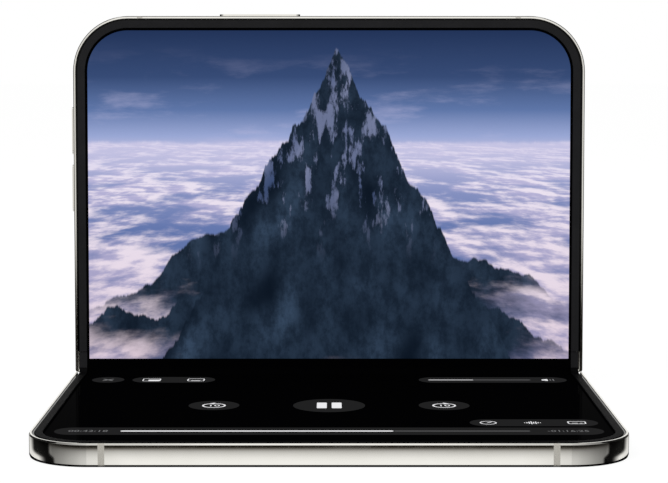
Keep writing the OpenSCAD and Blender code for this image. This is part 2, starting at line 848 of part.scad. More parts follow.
module lens_rings() {
    r = lens_ring_edge_r;
    color(steel) place_upper()
        lens_spots() translate([0, 0, -plateau_t - lens_ring_h])
            rotate_extrude()
                polygon(concat(
                    [[lens_ring_r - lens_ring_w, lens_ring_h], [lens_ring_r - lens_ring_w, 0]],
                    arc(lens_ring_r - r, r, r, 270, 360, 4),
                    [[lens_ring_r, lens_ring_h]]
                ));
}

module lens_glasses() {
    color([0.04, 0.04, 0.06]) place_upper()
        lens_spots() translate([0, 0, lens_glass_drop - plateau_t - lens_ring_h])
            cylinder(h = lens_glass_t, r = lens_ring_r - lens_ring_w - fit_gap);
}

module camera_modules() {
    low = lens_glass_drop + lens_glass_t + inner_gap - plateau_t - lens_ring_h;
    color([0.10, 0.10, 0.11]) place_upper()
        lens_spots() translate([0, 0, low]) cylinder(h = cavity_high - low, r = module_r);
}

module flash_lens() {
    color([0.95, 0.92, 0.80]) place_upper()
        translate([lens_x, flash_v, fit_gap - plateau_t])
            cylinder(h = plateau_t + glass_t - fit_gap, r = flash_r);
}

// Spine

// Cross-section of the spine out to radius r, cut level at depth top.
module spine_section(r, top) {
    intersection() {
        union() {
            for (s = [-1, 1]) translate([s * axis_v, 0]) circle(r);
            translate([-axis_v, -r]) square([axis_gap, 2 * r]);
        }
        translate([-reach, -reach]) square([2 * reach, reach - top]);
    }
}

module along_spine(x0, x1) {
    translate([x0, 0, 0]) rotate([90, 0, 90]) linear_extrude(x1 - x0) children();
}

// Clears the way of a piece that turns out of the spine's side, at depth low.
module side_window(s, x, w, low) {
    translate([x - w / 2, s > 0 ? 0 : -reach, -low])
        cube([w, reach, reach]);
}

module spine_cover() {
    inner_half = spine_half - spine_end_len;
    color([0.78, 0.77, 0.74]) place_spine()
        difference() {
            union() {
                along_spine(-inner_half, inner_half) spine_section(spine_r, spine_top);
                for (x = [-spine_half, inner_half])
                    along_spine(x, x + spine_end_len) spine_section(spine_r, spine_end_top);
            }
            along_spine(-spine_half - cut, spine_half + cut) spine_section(spine_in_r, -reach);
            for (u = [-unit_x, unit_x], s = [-1, 1]) {
                side_window(s, u + s * guide_x, guide_w + 4 * run_gap, -flange_low + run_gap);
                side_window(s, u, gear_w + 4 * run_gap, gear_depth + arm_t / 2 + 2 * run_gap);
            }
        }
}

module spine_end_caps() {
    color([0.60, 0.60, 0.60]) place_spine()
        for (x = [-spine_half, spine_half - end_cap_t])
            along_spine(x, x + end_cap_t) spine_section(block_r, spine_end_top + fit_gap);
}

// The stiffening bar between and beside the hinge units.
module spine_core() {
    gap = 2 * run_gap;
    cap_x = spine_half - end_cap_t;
    block_end = unit_x + block_len / 2;
    color([0.50, 0.50, 0.52]) place_spine() {
        along_spine(-unit_x + block_len / 2 + gap, unit_x - block_len / 2 - gap)
            spine_section(block_r, spine_top + run_gap);
        for (s = [0, 1])
            mirror([s, 0, 0])
                along_spine(block_end + gap, cap_x - gap)
                    spine_section(block_r, spine_end_top + fit_gap);
    }
}

// Ring sector of a curved guide, about its own fold axis, with a gap all round.
module guide_section(gap) {
    end_a = 270 + guide_past + (gap > 0 ? 4 : 0);
    intersection() {
        difference() {
            circle(guide_r_out + gap);
            circle(guide_r_in - gap);
        }
        polygon([
            [0, 0], [-reach, 0], [-reach, -reach], [0, -reach], reach * [cos(end_a), sin(end_a)]
        ]);
    }
}

module hinge_blocks() {
    slot_w = guide_w + 2 * run_gap;
    gap = 2 * fit_gap;
    slot_low = guide_r_in - 3 * run_gap;
    color([0.55, 0.55, 0.57]) place_spine()
        for (u = [-unit_x, unit_x])
            difference() {
                along_spine(u - block_len / 2, u + block_len / 2)
                    spine_section(block_r, spine_top + fit_gap);
                for (s = [-1, 1]) {
                    x = u + s * guide_x;
                    along_spine(x - slot_w / 2, x + slot_w / 2)
                        scale([-s, 1]) translate([-axis_v, 0]) guide_section(gap);
                    translate([
                        x - slot_w / 2, s > 0 ? axis_v + slot_low : -reach, flange_low - run_gap
                    ])
                        cube([slot_w, reach - axis_v - slot_low, reach]);
                    for (k = [1, 3])
                        translate([u, s * k * gear_r, -gear_depth])
                            rotate([0, 90, 0])
                                cylinder(
                                    h = shaft_len + run_gap, r = shaft_r + shaft_gap / 3,
                                    center = true
                                );
                }
                translate([u - gear_w / 2 - 2 * run_gap, -reach, -gear_depth - tip_r - run_gap])
                    cube([gear_w + 4 * run_gap, 2 * reach, reach]);
            }
}

module gear_shafts() {
    color(steel) place_spine()
        for (u = [-unit_x, unit_x], k = [-3, -1, 1, 3])
            translate([u, k * gear_r, -gear_depth])
                rotate([0, 90, 0]) cylinder(h = shaft_len, r = shaft_r, center = true);
}

// Outline of a gear with one tooth turned by start.
module gear_outline(start) {
    step = 360 / gear_teeth;
    polygon([
        for (
            i = [0:gear_teeth - 1],
            p = [[root_r, -tooth_root], [tip_r, -tooth_tip], [tip_r, tooth_tip], [root_r, tooth_root]]
        )
            let (a = start + (i + p[1] / 2) * step) p[0] * [cos(a), sin(a)]
    ]);
}

module gear(k, start) {
    for (u = [-unit_x, unit_x])
        translate([u - gear_w / 2, k * gear_r, -gear_depth])
            rotate([90, 0, 90])
                difference() {
                    linear_extrude(gear_w) gear_outline(start);
                    translate([0, 0, -cut]) cylinder(h = gear_w + 2 * cut, r = shaft_bore_r);
                }
}

module lower_idler_gears() {
    color(copper) place_spine() gear(-1, 180 / gear_teeth);
}

module upper_idler_gears() {
    color(copper) place_spine() gear(1, 0);
}

// A gear with a blade that slides in its half's bracket.
module sync_arms(s) {
    gear(s * 3, s > 0 ? 180 / gear_teeth : 0);
    for (u = [-unit_x, unit_x])
        translate([u - gear_w / 2, s * outer_gear_y, -gear_depth])
            rotate([s * fold, 0, 0])
                translate([0, s > 0 ? shaft_bore_r + run_gap : -arm_len, -arm_t / 2])
                    cube([gear_w, arm_len - shaft_bore_r - run_gap, arm_t]);
}

module lower_sync_arms() {
    color(copper) place_spine() sync_arms(-1);
}

module upper_sync_arms() {
    color(copper) place_spine() sync_arms(1);
}

// Brackets that carry the curved guides, screwed up against the frame's plate.
module hinge_brackets(s) {
    for (u = [-unit_x, unit_x]) {
        x = u + s * guide_x;
        difference() {
            union() {
                translate([u - bracket_len / 2, bracket_v, bracket_low])
                    cube([bracket_len, bracket_d, midplate_low - bracket_low]);
                translate([
                    x - guide_w / 2, axis_v + guide_r_in + flange_start, midplate_low - flange_t
                ])
                    cube([guide_w, bracket_v - axis_v - guide_r_in, flange_t]);
                translate([x - guide_w / 2, axis_v, screen_z])
                    rotate([90, 0, 90])
                        linear_extrude(guide_w)
                            intersection() {
                                mirror([1, 0]) guide_section(0);
                                translate([-reach, -reach]) square([2 * reach, reach + flange_high]);
                            }
            }
            translate([u - gear_w / 2 - 3 * run_gap, bracket_v - cut, pocket_floor])
                cube([gear_w + 6 * run_gap, pocket_d + cut, half_t]);
            for (t = [-1, 1])
                translate([u + t * screw_x, bracket_v + bracket_d / 2, 0])
                    cylinder(h = half_t, r = screw_r + fit_gap / 2, $fn = 32);
        }
    }
}

module lower_hinge_brackets() {
    color([0.62, 0.62, 0.64]) place_lower() hinge_brackets(-1);
}

module upper_hinge_brackets() {
    color([0.62, 0.62, 0.64]) place_upper() hinge_brackets(1);
}

module bracket_screws() {
    bracket_screw_spots() {
        translate([0, 0, plate_low - screw_head_t]) cylinder(h = screw_head_t, r = screw_head_r, $fn = 32);
        translate([0, 0, bracket_low + 2 * inner_gap])
            cylinder(
                h = plate_low - screw_head_t / 2 - bracket_low - 2 * inner_gap, r = screw_r, $fn = 32
            );
    }
}

module lower_bracket_screws() {
    color(steel) place_lower() bracket_screws();
}

module upper_bracket_screws() {
    color(steel) place_upper() bracket_screws();
}

// Inside of the lower half

module lower_battery() {
    color([0.10, 0.10, 0.12]) place_lower()
        rounded_box(
            lower_battery_x0, lower_battery_x1, battery_near, battery_far, cavity_low, cavity_high,
            pouch_r
        );
}

module speaker_box(side, v, w, l) {
    x = side > 0 ? inner_x - inner_gap - w : -inner_x + inner_gap;
    rounded_box(x, x + w, v - l / 2, v + l / 2, cavity_low, cavity_high, pouch_r);
}

module lower_speakers() {
    color(charcoal) place_lower() {
        speaker_box(-1, speaker_v, left_speaker_w, speaker_l);
        speaker_box(1, speaker_v, right_speaker_w, speaker_l);
    }
}

module haptic_motor() {
    color(grey) place_lower()
        rounded_box(
            inner_x - inner_gap - haptic_w, inner_x - inner_gap, haptic_near, haptic_far,
            cavity_low, cavity_high, part_r
        );
}

module lower_board() {
    color([0.08, 0.25, 0.18]) place_lower()
        rounded_box(
            inner_x - inner_gap - right_speaker_w, inner_x - inner_gap, cavity_near,
            speaker_v - speaker_l / 2 - part_space, cavity_high - board_t, cavity_high, part_r
        );
}

// Inside of the upper half

module upper_battery() {
    color([0.10, 0.10, 0.12]) place_upper()
        rounded_box(
            upper_battery_x0, upper_battery_x1, battery_near, battery_far, cavity_low, cavity_high,
            pouch_r
        );
}

module main_board() {
    color([0.08, 0.25, 0.18]) place_upper()
        rounded_box(
            board_x - board_w / 2, board_x + board_w / 2, cavity_near + part_space,
            cavity_far - 4 * part_space, cavity_high - board_t, cavity_high, part_r
        );
}

module board_shields() {
    top = cavity_high - board_t;
    mid = (cavity_near + cavity_far) / 2;
    color([0.70, 0.70, 0.72]) place_upper()
        for (v = [mid - shield_l - part_space, mid + part_space])
            rounded_box(
                board_x - board_w / 2 + shield_inset, board_x + board_w / 2 - shield_inset,
                v, v + shield_l, top - shield_t, top, part_r
            );
}

module charging_coil() {
    color(copper) place_upper()
        translate([(upper_battery_x0 + upper_battery_x1) / 2, half_d / 2, glass_t])
            difference() {
                cylinder(h = coil_t, r = coil_r);
                translate([0, 0, -cut]) cylinder(h = coil_t + 2 * cut, r = coil_r - coil_w);
            }
}

module upper_speakers() {
    color(charcoal) place_upper() {
        for (s = [-1, 1]) speaker_box(1, port_v + s * edge_row, small_speaker_w, small_speaker_l);
        speaker_box(-1, earpiece_v, earpiece_w, earpiece_l);
    }
}

// Charging port

module port_outline(extra) {
    w = port_w + 2 * extra;
    h = port_h + 2 * extra;
    for (s = [-1, 1]) translate([0, s * (w - h) / 2]) circle(h / 2);
    translate([-h / 2, (h - w) / 2]) square([h, w - h]);
}

module port_hole() {
    translate([-port_set_back - port_depth - fit_gap, 0, 0])
        rotate([0, 90, 0])
            linear_extrude(port_depth + port_set_back + 2 * cut)
                port_outline(port_shell_t + fit_gap / 2);
}

module usb_shell() {
    color(grey) place_upper()
        translate([side_x - port_depth - port_set_back, port_v, port_z])
            rotate([0, 90, 0])
                difference() {
                    linear_extrude(port_depth) port_outline(port_shell_t);
                    translate([0, 0, port_back_t]) linear_extrude(port_depth) port_outline(0);
                }
}

module usb_tongue() {
    color(black) place_upper()
        translate([
            side_x - port_set_back - port_depth + port_back_t, port_v - tongue_w / 2,
            port_z - tongue_t / 2
        ])
            cube([port_depth - port_back_t - tongue_drop, tongue_w, tongue_t]);
}

module edge_screws() {
    color(steel) place_upper()
        for (s = [-1, 1])
            translate([side_x - port_set_back - edge_screw_l, port_v + s * edge_screw_from, port_z])
                rotate([0, 90, 0])
                    difference() {
                        cylinder(h = edge_screw_l, r = edge_screw_r, $fn = 32);
                        translate([0, 0, edge_screw_l - edge_screw_r / 2])
                            cylinder(h = cut, r = edge_screw_r / 2, $fn = 5);
                    }
}

// Keys

// A key: a pill that stands proud of the edge, with a lug behind the wall at each end.
module key_body(len, proud) {
    translate([-len / 2 - key_lug, -key_w / 2, 0])
        cube([len + 2 * key_lug, key_w, key_lug_t]);
    pill(len, key_w, key_back + proud);
}

module side_key() {
    color(steel) place_upper()
        at_far_edge(side_key_x, key_z, key_back) key_body(side_key_len, side_key_proud);
}

module volume_up_key() {
    color(steel) place_upper()
        at_left_edge(volume_up_v, key_z, key_back) key_body(volume_len, volume_proud);
}

module volume_down_key() {
    color(steel) place_upper()
        at_left_edge(volume_down_v, key_z, key_back) key_body(volume_len, volume_proud);
}

// Dome switches, just beyond the end of each key's travel.
module key_switches() {
    depth = key_back + key_travel + glass_gap;
    color([0.75, 0.65, 0.35]) place_upper() {
        at_far_edge(side_key_x, key_z, depth + switch_t) pill(switch_l, switch_w, switch_t);
        for (v = [volume_up_v, volume_down_v])
            at_left_edge(v, key_z, depth + switch_t) pill(switch_l, switch_w, switch_t);
    }
}

lower_frame();
lower_bezel();
lower_bezel_strips();
lower_screen();
lower_support_plate();
cover_glass();
cover_display();
cover_camera();
lower_battery();
lower_speakers();
haptic_motor();
lower_board();
lower_antenna_bands();
lower_hinge_brackets();
lower_bracket_screws();
spine_cover();
spine_end_caps();
spine_core();
hinge_blocks();
gear_shafts();
screen_fold();
fold_strips();
lower_sync_arms();
upper_sync_arms();
lower_idler_gears();
upper_idler_gears();
upper_frame();
upper_bezel();
upper_bezel_strips();
upper_screen();
upper_support_plate();
back_glass();
camera_plateau();
lens_rings();
lens_glasses();
camera_modules();
flash_lens();
upper_battery();
main_board();
board_shields();
charging_coil();
upper_speakers();
usb_shell();
usb_tongue();
edge_screws();
upper_antenna_bands();
antenna_window();
upper_hinge_brackets();
upper_bracket_screws();
key_switches();
side_key();
volume_up_key();
volume_down_key();
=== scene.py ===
# %% [markdown]
# # A folding phone, half open
# The phone stands like a small laptop: the lower half lies on the table and the upper half stands up
# from it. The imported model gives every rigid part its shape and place. This script gives the parts
# their finishes, makes the soft screen and strips that bend at the hinge, the picture and the
# controls that the screen shows, the insides of the cameras, the light and the camera.

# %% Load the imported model
import json
import math

import bmesh
import bpy
from mathutils import Matrix, Vector


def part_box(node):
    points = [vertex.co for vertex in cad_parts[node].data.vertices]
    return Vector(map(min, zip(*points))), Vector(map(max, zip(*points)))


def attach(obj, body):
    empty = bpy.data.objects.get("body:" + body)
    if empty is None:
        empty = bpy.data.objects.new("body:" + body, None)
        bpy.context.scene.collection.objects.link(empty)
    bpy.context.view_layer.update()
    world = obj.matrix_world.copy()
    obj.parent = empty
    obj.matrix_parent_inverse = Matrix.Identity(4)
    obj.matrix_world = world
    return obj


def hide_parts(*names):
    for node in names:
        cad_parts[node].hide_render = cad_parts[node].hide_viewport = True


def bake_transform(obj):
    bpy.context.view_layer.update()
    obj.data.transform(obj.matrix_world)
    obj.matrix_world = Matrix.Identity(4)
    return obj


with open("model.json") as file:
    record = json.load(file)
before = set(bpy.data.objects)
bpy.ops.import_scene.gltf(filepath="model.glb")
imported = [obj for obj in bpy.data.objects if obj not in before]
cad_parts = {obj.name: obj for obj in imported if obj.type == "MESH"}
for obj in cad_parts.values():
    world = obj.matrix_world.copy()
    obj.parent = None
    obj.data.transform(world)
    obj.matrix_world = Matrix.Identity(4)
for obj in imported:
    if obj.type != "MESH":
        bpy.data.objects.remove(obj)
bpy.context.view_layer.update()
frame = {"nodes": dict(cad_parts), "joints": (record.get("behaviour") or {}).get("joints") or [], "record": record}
print("nodes:", len(frame["nodes"]))

# %% [markdown]
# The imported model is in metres, but a phone's parts are easier to think of in millimetres. The upper
# half's pieces are drawn lying flat: x along the hinge, v away from the hinge and z up from the outer
# glass. One matrix then stands a finished mesh up in its place, and turns millimetres into metres.
# The bend has a matrix of its own, and the lower half lies flat already, so it is only scaled.

# %% Where the halves are
MM = 0.001
SCREEN_HIGH = 4.35
SCREEN_HALF_T = 0.15
SCREEN_MIDDLE = 4.2
SCREEN_INSET = 1.9
AXIS_V = 0.8
SIDE_X = 60.3

axes = {joint["name"]: Vector(joint["pos_m"]) for joint in frame["joints"] if joint["type"] == "hinge"}
lower_axis = axes["fold_lower"]
upper_axis = axes["fold_upper"]
between = upper_axis - lower_axis
FOLD = math.atan2(between.z, between.y)
to_metres = Matrix.Scale(MM, 4)
spine_place = (
    Matrix.Translation(lower_axis) @ Matrix.Rotation(FOLD, 4, "X") @ to_metres
    @ Matrix.Translation((0, AXIS_V, 0))
)
upper_place = (
    Matrix.Translation(upper_axis) @ Matrix.Rotation(2 * FOLD, 4, "X") @ to_metres
    @ Matrix.Translation((0, -AXIS_V, -SCREEN_MIDDLE))
)
print("each half turns", round(math.degrees(FOLD), 2), "degrees from lying flat")

# %% [markdown]
# The camera stands in front of the phone, a little above the top edge of the upper half, and looks
# slightly down. A long lens keeps the edges nearly parallel, as in a product photograph.

# %% Camera
LOOKS_DOWN = 5.68
camera_data = bpy.data.cameras.new("camera")
camera_data.lens = 104.84
camera_data.sensor_width = 36
camera_data.shift_x = 0.0075
camera_data.clip_start = 0.01
camera_data.clip_end = 20
camera = bpy.data.objects.new("camera", camera_data)
camera.location = (0, -0.4153, 0.0814)
camera.rotation_euler = (math.radians(90 - LOOKS_DOWN), 0, 0)
bpy.context.scene.collection.objects.link(camera)
bpy.context.scene.camera = camera
bpy.context.scene.view_settings.view_transform = "Standard"
print("camera", round((camera.location - lower_axis).length, 3), "m from the hinge")

# %% [markdown]
# Finishes are built from nodes. A small wrapper round a node's output lets the arithmetic of a
# pattern read like arithmetic: each sum or product below makes one Math node.

# %% A number that changes over a surface
class Amount:
    def __init__(self, tree, socket):
        self.tree = tree
        self.socket = socket

    def math(self, operation, *others):
        node = self.tree.nodes.new("ShaderNodeMath")
        node.operation = operation
        for place, value in zip(node.inputs, (self, *others)):
            plug(self.tree, value, place)
        return Amount(self.tree, node.outputs[0])

    def __add__(self, other):
        return self.math("ADD", other)

    def __sub__(self, other):
        return self.math("SUBTRACT", other)

    def __mul__(self, other):
        return self.math("MULTIPLY", other)

    def size(self):
        return self.math("ABSOLUTE")

    def between(self, low, high, start=0.0, end=1.0):
        """Rises smoothly from start to end as this goes from low to high."""
        node = self.tree.nodes.new("ShaderNodeMapRange")
        node.interpolation_type = "SMOOTHSTEP"
        for place, value in zip(node.inputs, (self, low, high, start, end)):
            plug(self.tree, value, place)
        return Amount(self.tree, node.outputs[0])


def plug(tree, value, place):
    """Links a value to a socket, or sets the socket where the value is a plain number."""
    if isinstance(value, Amount):
        tree.links.new(value.socket, place)
    elif isinstance(value, bpy.types.NodeSocket):
        tree.links.new(value, place)
    else:
        place.default_value = value


def colour_mix(tree, share, first, second):
    node = tree.nodes.new("ShaderNodeMix")
    node.data_type = "RGBA"
    plug(tree, share, node.inputs[0])
    for value, place in ((first, node.inputs[6]), (second, node.inputs[7])):
        plug(tree, (*value, 1) if isinstance(value, tuple) else value, place)
    return node.outputs[2]


def colour_steps(tree, amount, steps):
    """A colour that follows an amount from 0 to 1 through named steps."""
    node = tree.nodes.new("ShaderNodeValToRGB")
    ramp = node.color_ramp
    while len(ramp.elements) < len(steps):
        ramp.elements.new(0.5)
    for element, (position, colour) in zip(ramp.elements, steps):
        element.position = position
        element.color = (*colour, 1)
    plug(tree, amount, node.inputs[0])
    return node.outputs[0]


def noise(tree, where, scale, detail=3.0, kind="FBM", dimensions="3D", rough=0.5):
    node = tree.nodes.new("ShaderNodeTexNoise")
    node.noise_dimensions = dimensions
    node.noise_type = kind
    plug(tree, where, node.inputs["W" if dimensions == "1D" else "Vector"])
    node.inputs["Scale"].default_value = scale
    node.inputs["Detail"].default_value = detail
    node.inputs["Roughness"].default_value = rough
    return Amount(tree, node.outputs[0])


def stretched(tree, where, scales, offset=(0, 0, 0)):
    """The same place, stretched, so that a pattern gets long one way."""
    node = tree.nodes.new("ShaderNodeMapping")
    tree.links.new(where, node.inputs[0])
    node.inputs["Scale"].default_value = scales
    node.inputs["Location"].default_value = offset
    return node.outputs[0]


def along(tree, where, direction, start):
    """How far a place is along a direction, counted from start."""
    node = tree.nodes.new("ShaderNodeVectorMath")
    node.operation = "DOT_PRODUCT"
    tree.links.new(where, node.inputs[0])
    node.inputs[1].default_value = direction
    return Amount(tree, node.outputs["Value"]) - Vector(direction).dot(start)


# %% [markdown]
# Fine grain, soft handling marks and hairlines turn up on many finishes, so each is a node group
# with its own sockets, made once. A group puts out only a value that changes over the surface.

# %% Shared effects
def effect(name, inputs, output="Value"):
    group = bpy.data.node_groups.new(name, "ShaderNodeTree")
    for label, value in inputs.items():
        socket = group.interface.new_socket(label, in_out="INPUT", socket_type="NodeSocketFloat")
        socket.default_value = value
    kind = "NodeSocketColor" if output == "Color" else "NodeSocketFloat"
    group.interface.new_socket(output, in_out="OUTPUT", socket_type=kind)
    start = group.nodes.new("NodeGroupInput")
    end = group.nodes.new("NodeGroupOutput")
    where = group.nodes.new("ShaderNodeTexCoord").outputs["Object"]
    return group, start, end, where


grain, start, end, where = effect("fine_grain", {"Scale": 9000.0, "Low": 0.0, "High": 1.0})
speck = noise(grain, where, 9000, 2.0)
grain.links.new(start.outputs["Scale"], speck.socket.node.inputs["Scale"])
spread = speck.between(0.3, 0.7, start.outputs["Low"], start.outputs["High"])
grain.links.new(spread.socket, end.inputs[0])

marks, start, end, where = effect("handling_marks", {"Low": 0.0, "High": 1.0})
patch = noise(marks, where, 45, 4.0, rough=0.6) + noise(marks, where, 420, 3.0) * 0.4
spread = patch.between(0.45, 0.95, start.outputs["Low"], start.outputs["High"])
marks.links.new(spread.socket, end.inputs[0])

hairlines, start, end, where = effect("hairlines", {"Low": 0.0, "High": 1.0})
line = noise(hairlines, stretched(hairlines, where, (60, 4000, 4000)), 1.0, 4.0, rough=0.7)
spread = line.between(0.35, 0.65, start.outputs["Low"], start.outputs["High"])
hairlines.links.new(spread.socket, end.inputs[0])

pixels, start, end, where = effect("pixel_grid", {"Low": 0.8, "High": 1.0})
dot = noise(pixels, where, 16000, 0.0)
spread = dot.between(0.3, 0.7, start.outputs["Low"], start.outputs["High"])
pixels.links.new(spread.socket, end.inputs[0])
print("shared effects:", sorted(group.name for group in bpy.data.node_groups))

# %% [markdown]
# A finish is one Principled shader. What stays the same all over is set on its own sockets, and
# only what changes over the surface is linked.

# %% Starting a finish
def new_finish(name, **settings):
    material = bpy.data.materials.new(name)
    material.use_nodes = True
    shader = material.node_tree.nodes["Principled BSDF"]
    for label, value in settings.items():
        socket = shader.inputs[label.replace("_", " ")]
        socket.default_value = (*value, 1) if isinstance(value, tuple) else value
    return material, material.node_tree, shader


def use_effect(tree, group, **values):
    node = tree.nodes.new("ShaderNodeGroup")
    node.node_tree = group
    for label, value in values.items():
        node.inputs[label].default_value = value
    return Amount(tree, node.outputs[0])


def object_place(tree):
    return tree.nodes.new("ShaderNodeTexCoord").outputs["Object"]


def bump(tree, shader, height, distance):
    node = tree.nodes.new("ShaderNodeBump")
    node.inputs["Strength"].default_value = 1.0
    node.inputs["Distance"].default_value = distance
    plug(tree, height, node.inputs["Height"])
    tree.links.new(node.outputs[0], shader.inputs["Normal"])


# %% [markdown]
# The rims, keys and camera plate are warm silver metal, polished to a mirror. A real rim's wall is
# not flat: it is crowned by a few hundredths of a millimetre, which is why its reflection runs from
# dark at the top to white at the bottom. The bump's height is a shallow arch over the wall's height,
# and the polish varies a little where fingers touch it.

# %% Polished metal
CROWN_R = 30 * MM
WALL_MIDDLE = 2.4 * MM
WALL_HALF = 1.85 * MM
lower_up = (0, 0, 1)
lower_base = Vector((0, 0, 0))
upper_up = tuple(upper_place.to_3x3().col[2].normalized())
upper_base = upper_place @ Vector((0, 0, 0))


def polished(name, up, base):
    material, tree, shader = new_finish(name, Metallic=1.0)
    where = object_place(tree)
    warm = colour_mix(tree, use_effect(tree, marks), (0.87, 0.855, 0.815), (0.85, 0.835, 0.79))
    tree.links.new(warm, shader.inputs["Base Color"])
    plug(tree, use_effect(tree, marks, Low=0.045, High=0.085), shader.inputs["Roughness"])
    rise = along(tree, where, up, base) - WALL_MIDDLE
    bump(tree, shader, rise * rise * (-0.5 / CROWN_R), 1.0)
    return material


lower_polish = polished("polished_lower", lower_up, lower_base)
upper_polish = polished("polished_upper", upper_up, upper_base)
print("the crown rises", round(WALL_HALF ** 2 / (2 * CROWN_R) / MM, 3), "mm")

# %% [markdown]
# The inner steel parts are satin: brushed one way, with a rougher shine than the rims. Aluminium
# plates are bead-blasted, and the hinge's gears are turned from bronze.

# %% Steel, aluminium and bronze
steel, tree, shader = new_finish("satin_steel", Metallic=1.0)
tone = colour_mix(tree, use_effect(tree, hairlines), (0.52, 0.52, 0.54), (0.66, 0.66, 0.67))
tree.links.new(tone, shader.inputs["Base Color"])
plug(tree, use_effect(tree, hairlines, Low=0.24, High=0.4), shader.inputs["Roughness"])
bump(tree, shader, use_effect(tree, hairlines), 0.000004)

aluminium, tree, shader = new_finish("blasted_aluminium", Metallic=1.0)
tone = colour_mix(tree, use_effect(tree, marks), (0.66, 0.66, 0.68), (0.74, 0.74, 0.75))
tree.links.new(tone, shader.inputs["Base Color"])
plug(tree, use_effect(tree, grain, Low=0.36, High=0.5), shader.inputs["Roughness"])
bump(tree, shader, use_effect(tree, grain), 0.000005)

bronze, tree, shader = new_finish("machined_bronze", Metallic=1.0)
tone = colour_mix(tree, use_effect(tree, grain, Scale=3000), (0.62, 0.42, 0.22), (0.76, 0.56, 0.34))
tree.links.new(tone, shader.inputs["Base Color"])
plug(tree, use_effect(tree, hairlines, Low=0.22, High=0.36), shader.inputs["Roughness"])
print("metals:", steel.name, aluminium.name, bronze.name)

# %% [markdown]
# The bezel is moulded charcoal plastic with a very fine texture. The lower half's copy is painted much
# darker than the upper half's. That darkening is painted shade, to even out the stronger light from
# above that falls on it. The strips at the fold are a softer rubber, a shade duller. Both are bump on a
# near-black base.

# %% Charcoal plastics
def moulded(name, dark, pale, low, high, depth, scale=12000, ior=1.5):
    material, tree, shader = new_finish(name, IOR=ior)
    tone = colour_mix(tree, use_effect(tree, marks), dark, pale)
    tree.links.new(tone, shader.inputs["Base Color"])
    plug(tree, use_effect(tree, grain, Scale=scale, Low=low, High=high), shader.inputs["Roughness"])
    bump(tree, shader, use_effect(tree, grain, Scale=scale), depth)
    return material


GROOVE_HIGH = 4.63 * MM
GROOVE_LOW = 4.605 * MM
GROOVE_PAINTED_SHADE = (0.0004, 0.0004, 0.0004)


def bezel_finish(name, up, base, dark, pale):
    """Charcoal on top, and near-black painted shade with a thin gloss in the groove beside the rim."""
    material = moulded(name, dark, pale, 0.42, 0.6, 0.000006, ior=1.06)
    tree = material.node_tree
    shader = tree.nodes["Principled BSDF"]
    shader.inputs["Coat IOR"].default_value = 1.2
    shader.inputs["Coat Roughness"].default_value = 0.06
    tone = shader.inputs["Base Color"].links[0].from_socket
    rise = along(tree, object_place(tree), up, base)
    groove = rise.between(GROOVE_HIGH, GROOVE_LOW)
    # The groove's near-black colour is painted shade, standing in for the shadow in the recess.
    tree.links.new(colour_mix(tree, groove, tone, GROOVE_PAINTED_SHADE), shader.inputs["Base Color"])
    plug(tree, groove, shader.inputs["Coat Weight"])
    return material


# The lower bezel's darker colour is painted shade: the two copies differ only in how much light falls on them.
lower_charcoal_painted_shade = bezel_finish(
    "lower_bezel", lower_up, lower_base, (0.0035, 0.0035, 0.004), (0.005, 0.005, 0.0056))
upper_charcoal = bezel_finish(
    "upper_bezel", upper_up, upper_base, (0.0155, 0.0155, 0.0165), (0.0195, 0.0195, 0.021))
rubber = moulded(
    "soft_strip_rubber", (0.002, 0.002, 0.0022), (0.0035, 0.0035, 0.0038), 0.5, 0.65, 0.000008, ior=1.1)
print("bezels:", lower_charcoal_painted_shade.name, upper_charcoal.name)

# %% [markdown]
# The plastics inside are made the same way: speaker boxes, boards under green lacquer and the
# batteries' foil. The window in the top edge is a grey resin, and the bands across the rim are a
# resin with metal in it.

# %% Other plastics
dark_plastic = moulded("dark_plastic", (0.02, 0.02, 0.02), (0.03, 0.03, 0.032), 0.4, 0.55, 0.000006)
board_lacquer = moulded("board_lacquer", (0.012, 0.075, 0.05), (0.03, 0.14, 0.09), 0.2, 0.35, 0.00002, 2500)
foil = moulded("battery_foil", (0.03, 0.032, 0.036), (0.05, 0.052, 0.058), 0.3, 0.45, 0.00001, 900)
window_finish = moulded("window_resin", (0.10, 0.10, 0.10), (0.13, 0.13, 0.13), 0.12, 0.2, 0.000002)

band_finish, tree, shader = new_finish("band_resin", Metallic=0.75)
tone = colour_mix(tree, use_effect(tree, grain), (0.58, 0.56, 0.51), (0.63, 0.61, 0.56))
tree.links.new(tone, shader.inputs["Base Color"])
plug(tree, use_effect(tree, grain, Low=0.14, High=0.22), shader.inputs["Roughness"])
print("plastics inside:", dark_plastic.name, board_lacquer.name, foil.name)

# %% [markdown]
# The display is black glass under a coat that hardly reflects. The outer glasses differ: the cover
# glass is deep black and glossy, the back glass is frosted on a warm white layer, and the lens
# windows are clear.

# %% Glasses
def black_glass(name, ior, low, high):
    material, tree, shader = new_finish(name, Base_Color=(0.0008, 0.0008, 0.001), IOR=ior)
    plug(tree, use_effect(tree, marks, Low=low, High=high), shader.inputs["Roughness"])
    return material


screen_glass = black_glass("screen_glass", 1.004, 0.04, 0.09)
cover_black = black_glass("cover_black_glass", 1.5, 0.02, 0.06)

back_frost, tree, shader = new_finish("frosted_back_glass", Coat_Roughness=0.25, Coat_IOR=1.45)
tone = colour_mix(tree, use_effect(tree, marks), (0.79, 0.775, 0.73), (0.765, 0.75, 0.70))
tree.links.new(tone, shader.inputs["Base Color"])
plug(tree, use_effect(tree, grain, Low=0.34, High=0.48), shader.inputs["Roughness"])
plug(tree, use_effect(tree, marks, Low=0.25, High=0.4), shader.inputs["Coat Weight"])
bump(tree, shader, use_effect(tree, grain), 0.000003)

